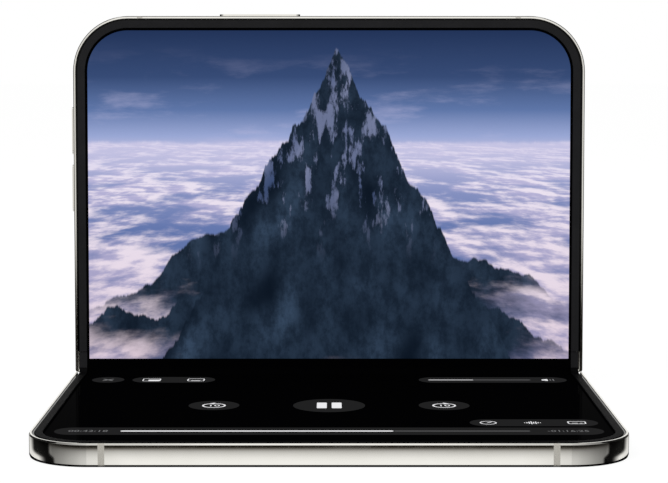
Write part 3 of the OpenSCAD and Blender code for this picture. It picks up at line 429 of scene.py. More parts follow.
lens_window, tree, shader = new_finish("lens_window", Base_Color=(0.94, 0.95, 0.97), IOR=1.5)
shader.inputs["Transmission Weight"].default_value = 1.0
plug(tree, use_effect(tree, marks, Low=0.0, High=0.03), shader.inputs["Roughness"])
print("glasses:", screen_glass.name, cover_black.name, back_frost.name, lens_window.name)

# %% [markdown]
# The flash is a clear lens moulded in fine rings over a yellow lamp. The rings are a bump that
# follows the distance from the lens's own middle, and the colour warms towards it.

# %% Flash
LENS_X = -44.7
FLASH_V = 31.8
FLASH_R = 2.9
RINGS = 60
flash_centre = upper_place @ Vector((LENS_X, FLASH_V, 0))
flash, tree, shader = new_finish("flash_lens", Roughness=0.12, Coat_Weight=0.6)
offset = tree.nodes.new("ShaderNodeVectorMath")
offset.operation = "DISTANCE"
tree.links.new(object_place(tree), offset.inputs[0])
offset.inputs[1].default_value = flash_centre
reach = Amount(tree, offset.outputs["Value"]) * (1 / (FLASH_R * MM))
tone = colour_steps(tree, reach, [
    (0.0, (0.95, 0.66, 0.20)), (0.7, (0.93, 0.85, 0.62)), (1.0, (0.85, 0.83, 0.78)),
])
tree.links.new(tone, shader.inputs["Base Color"])
bump(tree, shader, (reach * RINGS).math("SINE"), 0.00004)
print("flash at", [round(part, 4) for part in flash_centre], "m")

# %% [markdown]
# The upper half shows a still of a mountain above a sea of clouds. The picture is painted by nodes in
# the display's own coordinates: s runs from -1 at the left to 1 at the right and t from 0 at the
# bottom to 1 at the top. Each layer is a skyline: where t is under the skyline's height, the layer's
# colour covers what is behind it.

# %% The picture's own place
PICTURE_HALF = 57
PICTURE_LOW = 3.36
PICTURE_HIGH = 81.05
upper_out = tuple(upper_place.to_3x3().col[1].normalized())

dusk, start, end, where = effect("above_the_clouds", {"Brightness": 1.0}, output="Color")
s = along(dusk, where, (1, 0, 0), Vector((0, 0, 0))) * (1 / (PICTURE_HALF * MM))
above_low = along(dusk, where, upper_out, upper_base) - PICTURE_LOW * MM
t = above_low * (1 / (PICTURE_HIGH * MM - PICTURE_LOW * MM))


def spot(across, up):
    """One place made of two amounts."""
    node = dusk.nodes.new("ShaderNodeCombineXYZ")
    plug(dusk, across, node.inputs[0])
    plug(dusk, up, node.inputs[1])
    return node.outputs[0]


place = spot(s, t)


def skyline(base, rough, fine, seed):
    """A height that wanders along s: big hills and small teeth."""
    hills = noise(dusk, s + seed, 1.6, 2.0, dimensions="1D") - 0.5
    teeth = noise(dusk, s + seed, 11.0, 6.0, dimensions="1D", rough=0.65) - 0.5
    return hills * rough + teeth * fine + base


def covered(height, soft=0.005):
    """1 under a skyline and 0 above it."""
    return (height - t).between(-soft, soft)


# %% [markdown]
# The sky goes from pale lavender at the horizon to navy overhead, with thin high clouds.

# %% Sky
HORIZON = 0.66
sky = colour_steps(dusk, t, [
    (0.62, (0.60, 0.58, 0.80)), (0.68, (0.33, 0.40, 0.68)), (0.76, (0.115, 0.185, 0.40)),
    (0.86, (0.038, 0.072, 0.185)), (1.0, (0.016, 0.034, 0.10)),
])
wisps = noise(dusk, stretched(dusk, place, (1.1, 6.5, 1)), 1.6, 9.0, rough=0.62)
cloud = wisps.between(0.5, 0.72) * t.between(0.98, 0.66) * 0.55
sky = colour_mix(dusk, cloud, sky, (0.50, 0.50, 0.74))

# %% [markdown]
# The sea of clouds is drawn in perspective: the distance below the horizon is turned into a distance
# over the ground, so that the clouds shrink and crowd together towards the horizon. Two readings a
# small step apart tell which side of a cloud faces the light.

# %% Sea of clouds
below = (t * -1 + HORIZON).math("MAXIMUM", 0.0) + 0.16
away = below.math("POWER", -1.0)
ground = spot(s * away * 0.55, away * 1.15)
heaps = noise(dusk, ground, 1.7, 9.0, rough=0.58)
towards = noise(dusk, stretched(dusk, ground, (1, 1, 1), (0.05, 0.05, 0)), 1.7, 9.0, rough=0.58)
lit_side = (heaps - towards).between(-0.045, 0.06)
thick = heaps.between(0.40, 0.57)
blue = colour_steps(dusk, t, [
    (0.0, (0.085, 0.13, 0.31)), (0.4, (0.13, 0.19, 0.43)), (0.66, (0.40, 0.43, 0.70)),
])
shaded = colour_steps(dusk, t, [(0.0, (0.34, 0.31, 0.50)), (0.6, (0.50, 0.48, 0.72))])
bright = colour_steps(dusk, t, [(0.0, (0.80, 0.66, 0.76)), (0.6, (0.86, 0.80, 0.92))])
sea = colour_mix(dusk, thick, blue, colour_mix(dusk, lit_side, shaded, bright))
sea = colour_mix(dusk, t.between(0.5, HORIZON) * 0.7, sea, (0.66, 0.63, 0.84))
picture = colour_mix(dusk, covered(skyline(HORIZON, 0.02, 0.012, 5.0), 0.008), sky, sea)

# %% [markdown]
# One large dark mountain stands in the middle, with snow in its gullies. Its relief is a ridged noise
# read twice, a small step apart. Lower peaks come through the clouds at both sides.

# %% Mountains
def ridges(offset):
    where = stretched(dusk, place, (2.6, 2.2, 1), offset)
    return noise(dusk, where, 1.5, 10.0, kind="RIDGED_MULTIFRACTAL", rough=0.56)


def relief(seed):
    """Which way a slope faces: 1 towards the light and 0 away from it."""
    here = ridges((seed, 0, 0))
    there = ridges((seed + 0.02, -0.014, 0))
    return (here - there).between(-0.045, 0.06)


def mountain(behind, height, seed, snow_line, mist_top):
    """Puts a rocky skyline in front, with snow above a line and mist at its foot."""
    facing = relief(seed)
    crags = noise(dusk, stretched(dusk, place, (1, 0.8, 1)), 16, 9.0, rough=0.7).between(0.35, 0.65)
    rocky = facing * (crags * 0.7 + 0.3)
    rock = colour_mix(dusk, rocky, (0.003, 0.0072, 0.016), (0.042, 0.074, 0.13))
    gully = noise(dusk, stretched(dusk, place, (7.0, 2.6, 1), (seed, 2, 0)), 2.4, 10.0, rough=0.66)
    in_gullies = (gully + (t - snow_line) * 0.16).between(0.525, 0.60)
    snow = in_gullies * t.between(snow_line - 0.30, snow_line)
    tone = colour_mix(dusk, facing, (0.05, 0.085, 0.20), (0.36, 0.39, 0.58))
    rock = colour_mix(dusk, snow * 0.85, rock, tone)
    foot = (heaps + (t - mist_top) * -1.6).between(0.46, 0.74)
    seen = covered(height) * (foot * -1 + 1)
    return colour_mix(dusk, seen, behind, rock)


outward = (s.size() - 0.3).math("MAXIMUM", 0.0)
picture = mountain(picture, skyline(0.46, 0.30, 0.05, 3.0) - outward * 0.42, 3.0, 0.55, 0.20)
picture = mountain(picture, skyline(0.27, 0.40, 0.07, 13.0) - outward * 0.30, 9.0, 0.6, 0.06)
slope = (s - 0.03).size().math("POWER", 0.92)
peak = skyline(0.97, 0.18, 0.11, 23.0) - slope * 1.28
picture = mountain(picture, peak, 0.0, 0.58, -0.02)
scaled = dusk.nodes.new("ShaderNodeVectorMath")
scaled.operation = "SCALE"
dusk.links.new(picture, scaled.inputs[0])
dusk.links.new(start.outputs["Brightness"], scaled.inputs["Scale"])
dusk.links.new(scaled.outputs[0], end.inputs[0])
print("picture nodes:", len(dusk.nodes))

# %% [markdown]
# A lit picture is an emission, and its strength is 1, so that it renders as bright as it is painted.
# Reflections leave it out, as the coat on such a display nearly does.

# %% Lit finishes
def lit(name):
    black = (0.001, 0.001, 0.001)
    material, tree, shader = new_finish(name, Base_Color=black, IOR=1.004, Emission_Strength=1.0)
    plug(tree, use_effect(tree, marks, Low=0.04, High=0.09), shader.inputs["Roughness"])
    return material, tree, shader


def glow(tree, shader, colour):
    """Lights a finish, but not in reflections."""
    path = tree.nodes.new("ShaderNodeLightPath")
    direct = Amount(tree, path.outputs["Is Glossy Ray"]) * -1 + 1
    seen = colour_mix(tree, direct * use_effect(tree, pixels, Low=0.94), (0, 0, 0), colour)
    tree.links.new(seen, shader.inputs["Emission Color"])


picture_finish, tree, shader = lit("lit_picture")
painted = tree.nodes.new("ShaderNodeGroup")
painted.node_tree = dusk
glow(tree, shader, painted.outputs[0])


def lit_control(name, colour):
    material, tree, shader = lit(name)
    glow(tree, shader, colour)
    return material


button_grey = lit_control("lit_button", (0.015, 0.015, 0.0155))
icon_white = lit_control("lit_icon", (0.86, 0.86, 0.88))
icon_soft = lit_control("lit_soft_icon", (0.48, 0.48, 0.49))
icon_grey = lit_control("lit_dim_icon", (0.17, 0.17, 0.175))
track_grey = lit_control("lit_track", (0.085, 0.085, 0.088))
print("lit finishes:", sorted(finish.name for finish in bpy.data.materials if finish.name[:3] == "lit"))

# %% [markdown]
# Every rigid part now gets its finish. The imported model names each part's material slot, so one
# table from slot to finish covers them, and only parts that need something else are named.

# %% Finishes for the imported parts
finish_of_slot = {
    "polished_metal": lower_polish, "plain_steel": steel, "aluminium": aluminium,
    "bezel_plastic": lower_charcoal_painted_shade, "soft_strip": rubber, "screen": screen_glass,
    "cover_glass": cover_black, "back_glass": back_frost, "flash": flash,
    "antenna_plastic": band_finish, "window_plastic": window_finish,
    "dark_plastic": dark_plastic, "board": board_lacquer, "gear_bronze": bronze,
}
body_of = {node: body for body, nodes in frame["record"]["behaviour"]["bodies"].items() for node in nodes}
upper_version = {lower_polish: upper_polish, lower_charcoal_painted_shade: upper_charcoal}
special = {"lens_glasses": lens_window, "lower_battery": foil, "upper_battery": foil}
for name, part in frame["nodes"].items():
    finish = finish_of_slot[part.data.materials[0].name]
    if body_of[name] not in ("lower_half", "spine"):
        finish = upper_version.get(finish, finish)
    finish = special.get(name, finish)
    for slot in part.material_slots:
        slot.material = finish
print("finished", len(frame["nodes"]), "packed parts")

# %% [markdown]
# New pieces start as a bmesh in millimetres. This helper puts one in its place, turns its faces
# outwards, gives it its finish and makes it ride on a body.

# %% Turning a bmesh into a piece
def as_piece(name, bm, place, finish, body=None, smooth=False):
    bmesh.ops.transform(bm, matrix=place, verts=bm.verts)
    bmesh.ops.recalc_face_normals(bm, faces=bm.faces)
    for face in bm.faces:
        face.smooth = smooth
    mesh = bpy.data.meshes.new(name)
    bm.to_mesh(mesh)
    bm.free()
    mesh.materials.append(finish)
    piece = bpy.data.objects.new(name, mesh)
    bpy.context.scene.collection.objects.link(piece)
    if body:
        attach(piece, body)
    print(name, len(mesh.vertices), "points")
    return piece


def thicken(bm, faces, height):
    """Gives flat faces a thickness upwards."""
    raised = bmesh.ops.extrude_face_region(bm, geom=list(faces))["geom"]
    points = [item for item in raised if isinstance(item, bmesh.types.BMVert)]
    bmesh.ops.translate(bm, verts=points, vec=(0, 0, height))


# %% [markdown]
# The folding screen is one sheet of glass and film that bends round the hinge. The imported model
# holds the bend as a rigid piece, which could not follow the fold; it is hidden here. Two pieces take
# its place, one from each flat stretch to the middle: a thin section is spun round the bend's centre,
# and each piece is baked in place at this pose.

# %% The bend in the screen
BEND_FROM = (math.pi / 2 - 1) * AXIS_V
BEND_R = (AXIS_V + BEND_FROM * math.cos(FOLD)) / math.sin(FOLD)
BEND_Z = BEND_FROM * math.sin(FOLD) + BEND_R * math.cos(FOLD)
BEND_STEPS = 14
print("the screen bends to a radius of", round(BEND_R, 3), "mm")


def bent_strips(spans, r_in, r_out, way):
    """Sections between two radii, spun from the middle of the bend towards one half."""
    bm = bmesh.new()
    for x_from, x_to in spans:
        section = bmesh.ops.create_grid(bm, x_segments=12, y_segments=1, size=0.5)["verts"]
        bmesh.ops.scale(bm, vec=(x_to - x_from, r_out - r_in, 1), verts=section)
        bmesh.ops.rotate(bm, matrix=Matrix.Rotation(math.pi / 2, 3, "X"), verts=section)
        middle = ((x_from + x_to) / 2, 0, BEND_Z - (r_in + r_out) / 2)
        bmesh.ops.translate(bm, vec=middle, verts=section)
        faces = list({face for vert in section for face in vert.link_faces})
        edges = list({edge for vert in section for edge in vert.link_edges})
        bmesh.ops.spin(
            bm, geom=faces + edges + section, cent=(0, 0, BEND_Z), axis=(1, 0, 0), dvec=(0, 0, 0),
            angle=way * FOLD, steps=BEND_STEPS, use_merge=False,
        )
    return bm


def bend_piece(name, spans, r_in, r_out, way, finish, node):
    piece = as_piece(name, bent_strips(spans, r_in, r_out, way), spine_place, finish, smooth=True)
    if way < 0:
        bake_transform(piece)
    else:
        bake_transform(piece)
    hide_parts(node)
    return piece


WAYS = {"lower": -1, "upper": 1}
screen_spans = [(SCREEN_INSET - SIDE_X, SIDE_X - SCREEN_INSET)]
for side, way in WAYS.items():
    bend_piece(
        "screen_bend_" + side, screen_spans, BEND_R - SCREEN_HALF_T, BEND_R + SCREEN_HALF_T, way,
        screen_glass, "screen_fold",
    )

# %% [markdown]
# At each side a soft strip covers the screen's edge round the bend, because the hard bezel stops at
# a seam on each half.

# %% The soft strips at the fold
STRIP_OUTER = SIDE_X - 1.0
STRIP_INNER = SIDE_X - 2.8
STRIP_TOP = 0.45
STRIP_BOTTOM = 0.18
strip_spans = [(-STRIP_OUTER, -STRIP_INNER), (STRIP_INNER, STRIP_OUTER)]
for side, way in WAYS.items():
    bend_piece(
        "strip_bend_" + side, strip_spans, BEND_R - STRIP_TOP, BEND_R - STRIP_BOTTOM, way,
        rubber, "fold_strips",
    )

# %% [markdown]
# The lit picture fills the upper half's display but for a thin black border. Its top corners are
# round, as the display's are, and its bottom corners are square, where the display bends away.

# %% The lit picture
LIT = 0.012
SHEET_HALF = 56.95
SHEET_CORNER = 9.6
sheet_middle = (PICTURE_HIGH + PICTURE_LOW) / 2
bm = bmesh.new()
sheet = bmesh.ops.create_grid(bm, x_segments=1, y_segments=1, size=0.5)["verts"]
bmesh.ops.scale(bm, vec=(2 * SHEET_HALF, PICTURE_HIGH - PICTURE_LOW, 1), verts=sheet)
bmesh.ops.translate(bm, vec=(0, sheet_middle, SCREEN_HIGH), verts=sheet)
corners = [vert for vert in bm.verts if vert.co.y > sheet_middle]
bmesh.ops.bevel(
    bm, geom=corners, offset=SHEET_CORNER, segments=24, profile=0.5, affect="VERTICES", material=-1,
)
thicken(bm, bm.faces[:], LIT)
as_piece("lit_picture", bm, upper_place, picture_finish, "upper_half")

# %% [markdown]
# The lower half shows the player's controls on black: dark grey buttons with pale signs on them. A
# circle whose points are moved apart makes every outline here: a disc, a pill or a rounded box.

# %% Shapes for the controls
SIGN_HIGH = SCREEN_HIGH + LIT * 0.8
DIGIT_SHARE = 0.7


def outline(bm, x, y, w, h, r, z, turn=0.0, segments=48, fill=True):
    """The points of a w by h box with corners of radius r."""
    ring = bmesh.ops.create_circle(bm, cap_ends=fill, segments=segments, radius=r)["verts"]
    bmesh.ops.rotate(bm, matrix=Matrix.Rotation(math.pi / segments, 3, "Z"), verts=ring)
    for vert in ring:
        vert.co.x += math.copysign(w / 2 - r, vert.co.x)
        vert.co.y += math.copysign(h / 2 - r, vert.co.y)
    bmesh.ops.rotate(bm, matrix=Matrix.Rotation(math.radians(turn), 3, "Z"), verts=ring)
    bmesh.ops.translate(bm, vec=(x, y, z), verts=ring)
    return ring


def plate(bm, x, y, w, h, r=None, z=SCREEN_HIGH, turn=0.0, segments=48):
    """A filled box or, where no radius is given, a pill."""
    r = min(w, h) / 2 if r is None else r
    ring = outline(bm, x, y, w, h, r, z, turn, segments)
    thicken(bm, {face for vert in ring for face in vert.link_faces}, LIT)


def sign(bm, x, y, w, h, r=None, turn=0.0, segments=48):
    """A plate on top of a button."""
    plate(bm, x, y, w, h, r, SIGN_HIGH, turn, segments)


def hoop(bm, x, y, w, h, r, line):
    """A line of even width round a box with round corners."""
    outer = outline(bm, x, y, w, h, r, SIGN_HIGH, fill=False)
    inner = outline(bm, x, y, w - 2 * line, h - 2 * line, max(r - line, 0.05), SIGN_HIGH, fill=False)
    loops = {edge for vert in outer + inner for edge in vert.link_edges}
    faces = bmesh.ops.bridge_loops(bm, edges=list(loops))["faces"]
    thicken(bm, faces, LIT)


def digits(bm, text, x, y, height):
    curve = bpy.data.curves.new("digits", "FONT")
    curve.body = text
    curve.align_x = "CENTER"
    curve.align_y = "CENTER"
    curve.size = height / DIGIT_SHARE
    curve.extrude = LIT / 2
    curve.resolution_u = 3
    text_object = bpy.data.objects.new("digits", curve)
    bpy.context.scene.collection.objects.link(text_object)
    bpy.context.view_layer.update()
    mesh = bpy.data.meshes.new_from_object(text_object)
    mesh.transform(Matrix.Translation((x, y, SIGN_HIGH + LIT / 2)))
    bm.from_mesh(mesh)
    bpy.data.objects.remove(text_object)
    bpy.data.curves.remove(curve)
    bpy.data.meshes.remove(mesh)


# %% [markdown]
# The controls lie in the lower half's plane, so their x and y are the table's own.

# %% Buttons
bm = bmesh.new()
plate(bm, -51.5, 33.2, 7.5, 7.5, segments=64)
plate(bm, -36.2, 33.25, 19.3, 7.7)
plate(bm, 38.18, 33.05, 34.5, 7.3)
plate(bm, -24.91, 0.55, 11.0, 10.8, segments=64)
plate(bm, 24.93, 0.55, 11.0, 10.8, segments=64)
plate(bm, 0.03, 0.50, 15.6, 15.4, segments=64)
plate(bm, 42.32, -19.04, 26.5, 7.3)
plate(bm, 0.02, -27.90, 111.1, 7.4)
as_piece("control_buttons", bm, to_metres, button_grey, "lower_half")

# %% [markdown]
# White signs: a cross, two bars for pause, two skip rings with their seconds, the volume and the
# playing time.

# %% White signs
bm = bmesh.new()
sign(bm, -1.55, 0.55, 2.15, 6.6, 0.35)
sign(bm, 1.66, 0.55, 2.15, 6.6, 0.35)
for side_x in (-24.91, 24.93):
    hoop(bm, side_x, 0.35, 5.15, 5.0, 2.5, 0.4)
    digits(bm, "10", side_x, 0.25, 1.9)
    way = math.copysign(1, side_x)
    sign(bm, side_x + way * 0.45, 3.05, 1.4, 0.45, turn=-way * 38)
    sign(bm, side_x + way * 0.45, 2.4, 1.2, 0.45, turn=way * 38)
hoop(bm, -41.34, 33.1, 4.2, 3.5, 0.7, 0.24)
sign(bm, -40.65, 32.5, 2.8, 1.7, 0.2)
hoop(bm, -31.01, 33.1, 4.0, 3.3, 0.7, 0.26)
sign(bm, -31.01, 32.1, 2.2, 0.4)
sign(bm, -14.55, -27.83, 55.2, 1.05)
sign(bm, 50.05, 32.95, 0.9, 1.5, 0.2)
sign(bm, 50.65, 32.95, 0.7, 2.3, 0.3)
for count, tall in enumerate((0.5, 1.0, 2.1, 2.9, 1.6, 2.3, 0.9, 0.5)):
    sign(bm, 42.05 + (count - 3.5) * 0.46, -19.07, 0.26, tall, segments=16)
hoop(bm, 32.9, -19.07, 3.5, 3.5, 1.75, 0.27)
sign(bm, 33.2, -18.7, 1.6, 0.3, turn=48)
hoop(bm, 51.2, -18.95, 3.8, 2.8, 0.7, 0.27)
sign(bm, 50.75, -19.5, 1.3, 0.3)
sign(bm, 52.05, -19.5, 0.6, 0.3)
as_piece("control_signs", bm, to_metres, icon_white, "lower_half")

# %% [markdown]
# The volume's bar is softer. The cross, the sound waves, the clock's digits and the tracks still to
# play are dim greys.

# %% Softer and dimmer signs
bm = bmesh.new()
sign(bm, 28.42, 33.0, 10.6, 1.1)
as_piece("control_volume_bar", bm, to_metres, icon_soft, "lower_half")

bm = bmesh.new()
for turn in (45, -45):
    sign(bm, -51.5, 33.1, 3.3, 0.5, turn=turn)
for wave_x, tall in ((51.6, 1.6), (52.3, 2.4)):
    sign(bm, wave_x, 32.95, 0.3, tall, 0.12)
digits(bm, "00:42:18", -48.7, -27.83, 1.65)
digits(bm, "-01:16:25", 48.4, -27.83, 1.6)
as_piece("control_dim_signs", bm, to_metres, icon_grey, "lower_half")

bm = bmesh.new()
sign(bm, 40.3, 33.0, 13.4, 1.1)
sign(bm, 26.9, -27.83, 27.6, 1.0)
as_piece("control_tracks", bm, to_metres, track_grey, "lower_half")

# %% [markdown]
# Behind each lens window is a black barrel that steps down to a small, coated front lens. The barrel
# is one section spun round the lens's axis, and it stands for the plain cylinder of the model.

# %% Lens barrels
LENS_V = (68.8, 48.8)
MODULE_R = 5.9
MODULE_FRONT = -2.1
MODULE_BACK = 3.0


def spun(bm, section, centre, steps=64):
    """Spins a section, given as (radius, height), round an upright axis at centre."""
    points = [bm.verts.new((centre[0] + r, centre[1], z)) for r, z in section]
    edges = [bm.edges.new(pair) for pair in zip(points, points[1:])]
    bmesh.ops.spin(
        bm, geom=points + edges, cent=(centre[0], centre[1], 0), axis=(0, 0, 1), dvec=(0, 0, 0),
        angle=2 * math.pi, steps=steps, use_merge=True,
    )
    bmesh.ops.remove_doubles(bm, verts=bm.verts, dist=0.0005)


barrel_black = moulded("barrel_black", (0.004, 0.004, 0.005), (0.008, 0.008, 0.009), 0.3, 0.45, 0.000003)
barrel = [(0, MODULE_BACK), (MODULE_R, MODULE_BACK)]
barrel += [(MODULE_R, MODULE_FRONT + 0.1), (MODULE_R - 0.1, MODULE_FRONT)]
for r_in, depth in ((5.2, 0), (4.5, 0.25), (3.8, 0.5)):
    barrel += [(r_in, MODULE_FRONT + depth), (r_in - 0.1, MODULE_FRONT + depth + 0.25)]
barrel += [(3.1, MODULE_FRONT + 0.75), (3.0, MODULE_FRONT + 1.3), (0, MODULE_FRONT + 1.3)]
bm = bmesh.new()
for lens_v in LENS_V:
    spun(bm, barrel, (LENS_X, lens_v))
barrels = as_piece("lens_barrels", bm, upper_place, barrel_black, "upper_half")
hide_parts("camera_modules")

# %% [markdown]
# The front lens is a shallow dome. Its coating shows blue and violet, stronger at the rim.

# %% Front lenses
DOME_R = 2.9
DOME_TALL = 0.9
DOME_FOOT = MODULE_FRONT + 1.25
DOME_ANGLES = (0, 0.26, 0.52, 0.78, 1.04, 1.3, math.pi / 2)
coated, tree, shader = new_finish("coated_lens", Roughness=0.03, Coat_Weight=1.0, Coat_Roughness=0.02)
tone = colour_steps(tree, noise(tree, object_place(tree), 90, 1.0), [
    (0.35, (0.004, 0.008, 0.03)), (0.65, (0.03, 0.006, 0.05)),
])
tree.links.new(tone, shader.inputs["Base Color"])
dome = [(DOME_R * math.sin(angle), DOME_FOOT - DOME_TALL * math.cos(angle)) for angle in DOME_ANGLES]
bm = bmesh.new()
for lens_v in LENS_V:
    spun(bm, [*dome, (0, DOME_FOOT)], (LENS_X, lens_v), 48)
as_piece("front_lenses", bm, upper_place, coated, "upper_half", smooth=True)

# %% [markdown]
# The charging port's tongue carries a row of gold contacts on each face.

# %% Port contacts
gold, tree, shader = new_finish("gold_contact", Metallic=1.0)
tone = colour_mix(tree, use_effect(tree, grain), (0.80, 0.58, 0.25), (0.88, 0.68, 0.34))
tree.links.new(tone, shader.inputs["Base Color"])
plug(tree, use_effect(tree, grain, Low=0.2, High=0.32), shader.inputs["Roughness"])
tongue_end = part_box("usb_tongue")[1].x / MM
PORT_V = 42.2
PORT_Z = 2.18
CONTACTS = 12
PITCH = 0.5
PAD = (2.6, 0.26, 0.04)
PAD_X = 56.6
PAD_RISE = 0.36
bm = bmesh.new()
for count in range(CONTACTS):
    v = PORT_V + (count - (CONTACTS - 1) / 2) * PITCH
    for rise in (-PAD_RISE, PAD_RISE):
        pad = bmesh.ops.create_cube(bm, size=1)["verts"]
        bmesh.ops.scale(bm, vec=PAD, verts=pad)
        bmesh.ops.translate(bm, vec=(PAD_X, v, PORT_Z + rise), verts=pad)
bmesh.ops.bevel(
    bm, geom=bm.edges[:], offset=0.015, segments=1, profile=0.5, affect="EDGES", material=-1,
)
as_piece("port_contacts", bm, upper_place, gold, "upper_half")
print("the tongue reaches x", round(tongue_end, 2), "mm")

# %% [markdown]
# The table is plain and pale. The photograph's background is pure white, so what the camera sees of
# the floor is nearly all its own brightness, with enough real light in it to keep a soft shadow.

# %% Table
bm = bmesh.new()
bmesh.ops.create_grid(bm, x_segments=1, y_segments=1, size=4)
floor_mesh = bpy.data.meshes.new("floor")
bm.to_mesh(floor_mesh)
bm.free()
floor = bpy.data.objects.new("floor", floor_mesh)
bpy.context.scene.collection.objects.link(floor)
floor.visible_glossy = False
floor_finish = bpy.data.materials.new("floor_white")
floor_finish.use_nodes = True
tree = floor_finish.node_tree
tree.nodes.remove(tree.nodes["Principled BSDF"])
output = tree.nodes["Material Output"]
path = tree.nodes.new("ShaderNodeLightPath")
bounce = tree.nodes.new("ShaderNodeBsdfDiffuse")
bounce.inputs[0].default_value = (0.82, 0.82, 0.82, 1)
shade = tree.nodes.new("ShaderNodeBsdfDiffuse")
shade.inputs[0].default_value = (0.16, 0.16, 0.16, 1)
own = tree.nodes.new("ShaderNodeEmission")
own.inputs["Strength"].default_value = 0.885
both = tree.nodes.new("ShaderNodeAddShader")
choice = tree.nodes.new("ShaderNodeMixShader")
tree.links.new(shade.outputs[0], both.inputs[0])
tree.links.new(own.outputs[0], both.inputs[1])
tree.links.new(path.outputs["Is Camera Ray"], choice.inputs[0])
tree.links.new(bounce.outputs[0], choice.inputs[1])
tree.links.new(both.outputs[0], choice.inputs[2])
tree.links.new(choice.outputs[0], output.inputs[0])
floor_mesh.materials.append(floor_finish)
print("the table is", round(floor.dimensions.x, 1), "m wide")

# %% [markdown]
# The room is plain white to the camera and through glass. For mirrors it is a studio. From low to
# high it is white, then a narrow dark gap just under the horizon, then white again: the gap draws the
# dark line along a polished rim. From the camera's side to the sides it dims, a black flag stands at
# each side, a little behind the phone, and the far wall is black but for a bright strip above the
# horizon. The flags draw the dark bend on each front corner, and the far wall draws the fine
# outline.

# %% Room
world = bpy.data.worlds.new("room")
bpy.context.scene.world = world
world.use_nodes = True
tree = world.node_tree
tree.nodes.clear()
output = tree.nodes.new("ShaderNodeOutputWorld")
path = tree.nodes.new("ShaderNodeLightPath")
direction = tree.nodes.new("ShaderNodeTexCoord").outputs["Generated"]
parts = tree.nodes.new("ShaderNodeSeparateXYZ")
tree.links.new(direction, parts.inputs[0])
DEGREES = 180 / math.pi
height = Amount(tree, parts.outputs["Z"]).math("ARCSINE") * DEGREES
to_front = Amount(tree, parts.outputs["Y"]) * -1
turned = Amount(tree, parts.outputs["X"]).math("ARCTAN2", to_front).size() * DEGREES
RANGE = 30.0
BLACK = 0.985


def at(degrees):
    """Where an angle above the horizon lies on the scale of the steps."""
    return (degrees + RANGE) / (2 * RANGE)


def round_to(degrees):
    """Where an angle from the camera's side lies on the scale of the steps."""
    return degrees / 180


def grey(level):
    return (level, level, level)


studio = colour_steps(tree, (height + RANGE) * (1 / (2 * RANGE)), [
    (at(-17), (1.0, 1.0, 0.985)), (at(-14), (0.92, 0.915, 0.90)), (at(-12.5), (0.83, 0.825, 0.81)),
    (at(-10.3), (0.68, 0.675, 0.66)), (at(-9), (0.55, 0.545, 0.53)), (at(-8.2), (0.44, 0.43, 0.415)),
    (at(-7.4), (0.27, 0.26, 0.245)), (at(-6.7), (0.13, 0.12, 0.11)), (at(-6), (0.045, 0.04, 0.03)),
    (at(-5.3), (0.007, 0.0055, 0.003)), (at(-3.6), (0.012, 0.01, 0.006)), (at(-2.2), (0.55, 0.54, 0.51)),
    (at(-1), (0.94, 0.93, 0.90)), (at(20), (0.97, 0.965, 0.95)),
])
dimmed = colour_steps(tree, turned * (1 / 180), [
    (round_to(6.5), grey(1.0)), (round_to(7.0), grey(0.87)), (round_to(7.3), grey(0.74)),
    (round_to(27), grey(0.53)), (round_to(38), grey(0.45)), (round_to(50), grey(0.35)),
    (round_to(62), grey(0.28)), (round_to(72), grey(0.23)), (round_to(95), grey(0.5)),
    (round_to(112), grey(1.0)),
])
low_part = height.between(75, 55)
side_dim = colour_mix(tree, low_part, grey(1.0), dimmed)
lean = height.between(-15, -11.5)
wide = height.between(-6, -2)
flag_from = lean * 10 - wide * 4 + 70
flag_to = lean * 36 + wide * 20 + 88
flag = turned.between(flag_from - 4, flag_from + 2) * turned.between(flag_to + 22, flag_to)
wall_low = height.between(-40, -30) * height.between(3, -2)
wall_high = height.between(22, 30) * height.between(72, 62)
far_wall = turned.between(154, 164) * (wall_low + wall_high)
open_part = (flag * low_part * -BLACK + 1) * (far_wall * -BLACK + 1)
mirror = tree.nodes.new("ShaderNodeBackground")
dark_parts = colour_mix(tree, open_part, grey(0.0), side_dim)
product = tree.nodes.new("ShaderNodeVectorMath")
product.operation = "MULTIPLY"
tree.links.new(studio, product.inputs[0])
tree.links.new(dark_parts, product.inputs[1])
tree.links.new(product.outputs[0], mirror.inputs[0])
plain = tree.nodes.new("ShaderNodeBackground")
plain.inputs[0].default_value = (1, 1, 1, 1)
plain.inputs[1].default_value = 0.68
white = tree.nodes.new("ShaderNodeBackground")
white.inputs[0].default_value = (1, 1, 1, 1)
by_gloss = tree.nodes.new("ShaderNodeMixShader")
by_view = tree.nodes.new("ShaderNodeMixShader")
through_glass = Amount(tree, path.outputs["Is Transmission Ray"])
seen = Amount(tree, path.outputs["Is Camera Ray"]).math("MAXIMUM", through_glass)
tree.links.new(path.outputs["Is Glossy Ray"], by_gloss.inputs[0])
tree.links.new(plain.outputs[0], by_gloss.inputs[1])
tree.links.new(mirror.outputs[0], by_gloss.inputs[2])
plug(tree, seen, by_view.inputs[0])
tree.links.new(by_gloss.outputs[0], by_view.inputs[1])
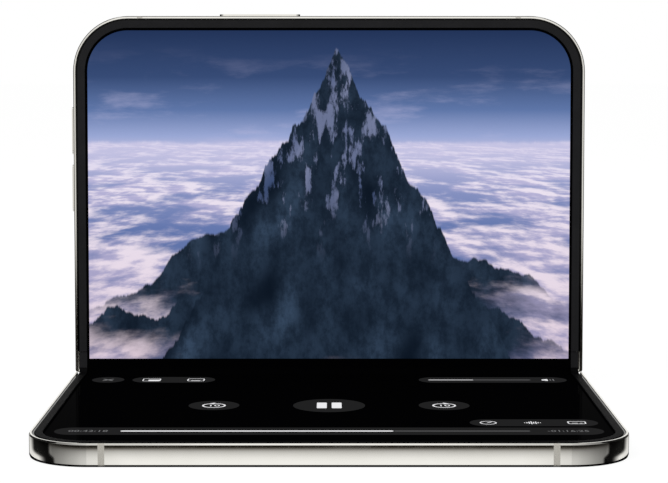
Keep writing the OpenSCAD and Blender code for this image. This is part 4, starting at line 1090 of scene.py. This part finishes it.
tree.links.new(white.outputs[0], by_view.inputs[2])
tree.links.new(by_view.outputs[0], output.inputs[0])
print("room nodes:", len(tree.nodes))

# %% [markdown]
# Where the phone meets the table there is a dark line of contact shadow. It is painted shadow: two thin
# black cards under the phone make it, a large one that only reflections see, and one the size of the
# phone that only the camera sees.

# %% Cards of painted shadow under the phone
CARD_DEEP = 84.0
CARD_CORNER = 13
# The cards' black is painted shadow where the phone meets the table.
contact_shadow_black, tree, shader = new_finish(
    "contact_shadow_black", Base_Color=(0.002, 0.002, 0.002), Specular_IOR_Level=0.0)


def card(name, past, height, for_camera):
    bm = bmesh.new()
    wide = 2 * (SIDE_X + past)
    ring = outline(bm, 0, 0, wide, CARD_DEEP + 2 * past, CARD_CORNER + past, height, segments=96)
    mesh = bpy.data.meshes.new(name)
    bmesh.ops.transform(bm, matrix=to_metres, verts=ring)
    bm.to_mesh(mesh)
    bm.free()
    mesh.materials.append(contact_shadow_black)
    made = bpy.data.objects.new(name, mesh)
    bpy.context.scene.collection.objects.link(made)
    made.visible_camera = for_camera
    made.visible_glossy = not for_camera
    made.visible_diffuse = False
    made.visible_shadow = False
    made.visible_transmission = False


card("shadow_card_for_reflections", 1.3, -0.05, False)
card("shadow_card_for_camera", -0.1, 0.02, True)

# %% [markdown]
# Two large soft lamps give the matte parts some shape. Mirrors don't see them: the room above is
# their light.

# %% Lamps
LAMPS_AIM = Vector((0, 0.02, 0.03))


def soft_lamp(name, place, size, watts):
    data = bpy.data.lights.new(name, "AREA")
    data.size = size
    data.energy = watts
    lamp = bpy.data.objects.new(name, data)
    lamp.location = place
    lamp.rotation_euler = (LAMPS_AIM - Vector(place)).to_track_quat("-Z", "Y").to_euler()
    lamp.visible_glossy = False
    lamp.visible_camera = False
    bpy.context.scene.collection.objects.link(lamp)


soft_lamp("key", (-0.5, -0.55, 0.75), 0.6, 3.0)
soft_lamp("fill", (0.65, -0.25, 0.5), 0.7, 1.2)
print("lamps:", sorted(light.name for light in bpy.data.lights))
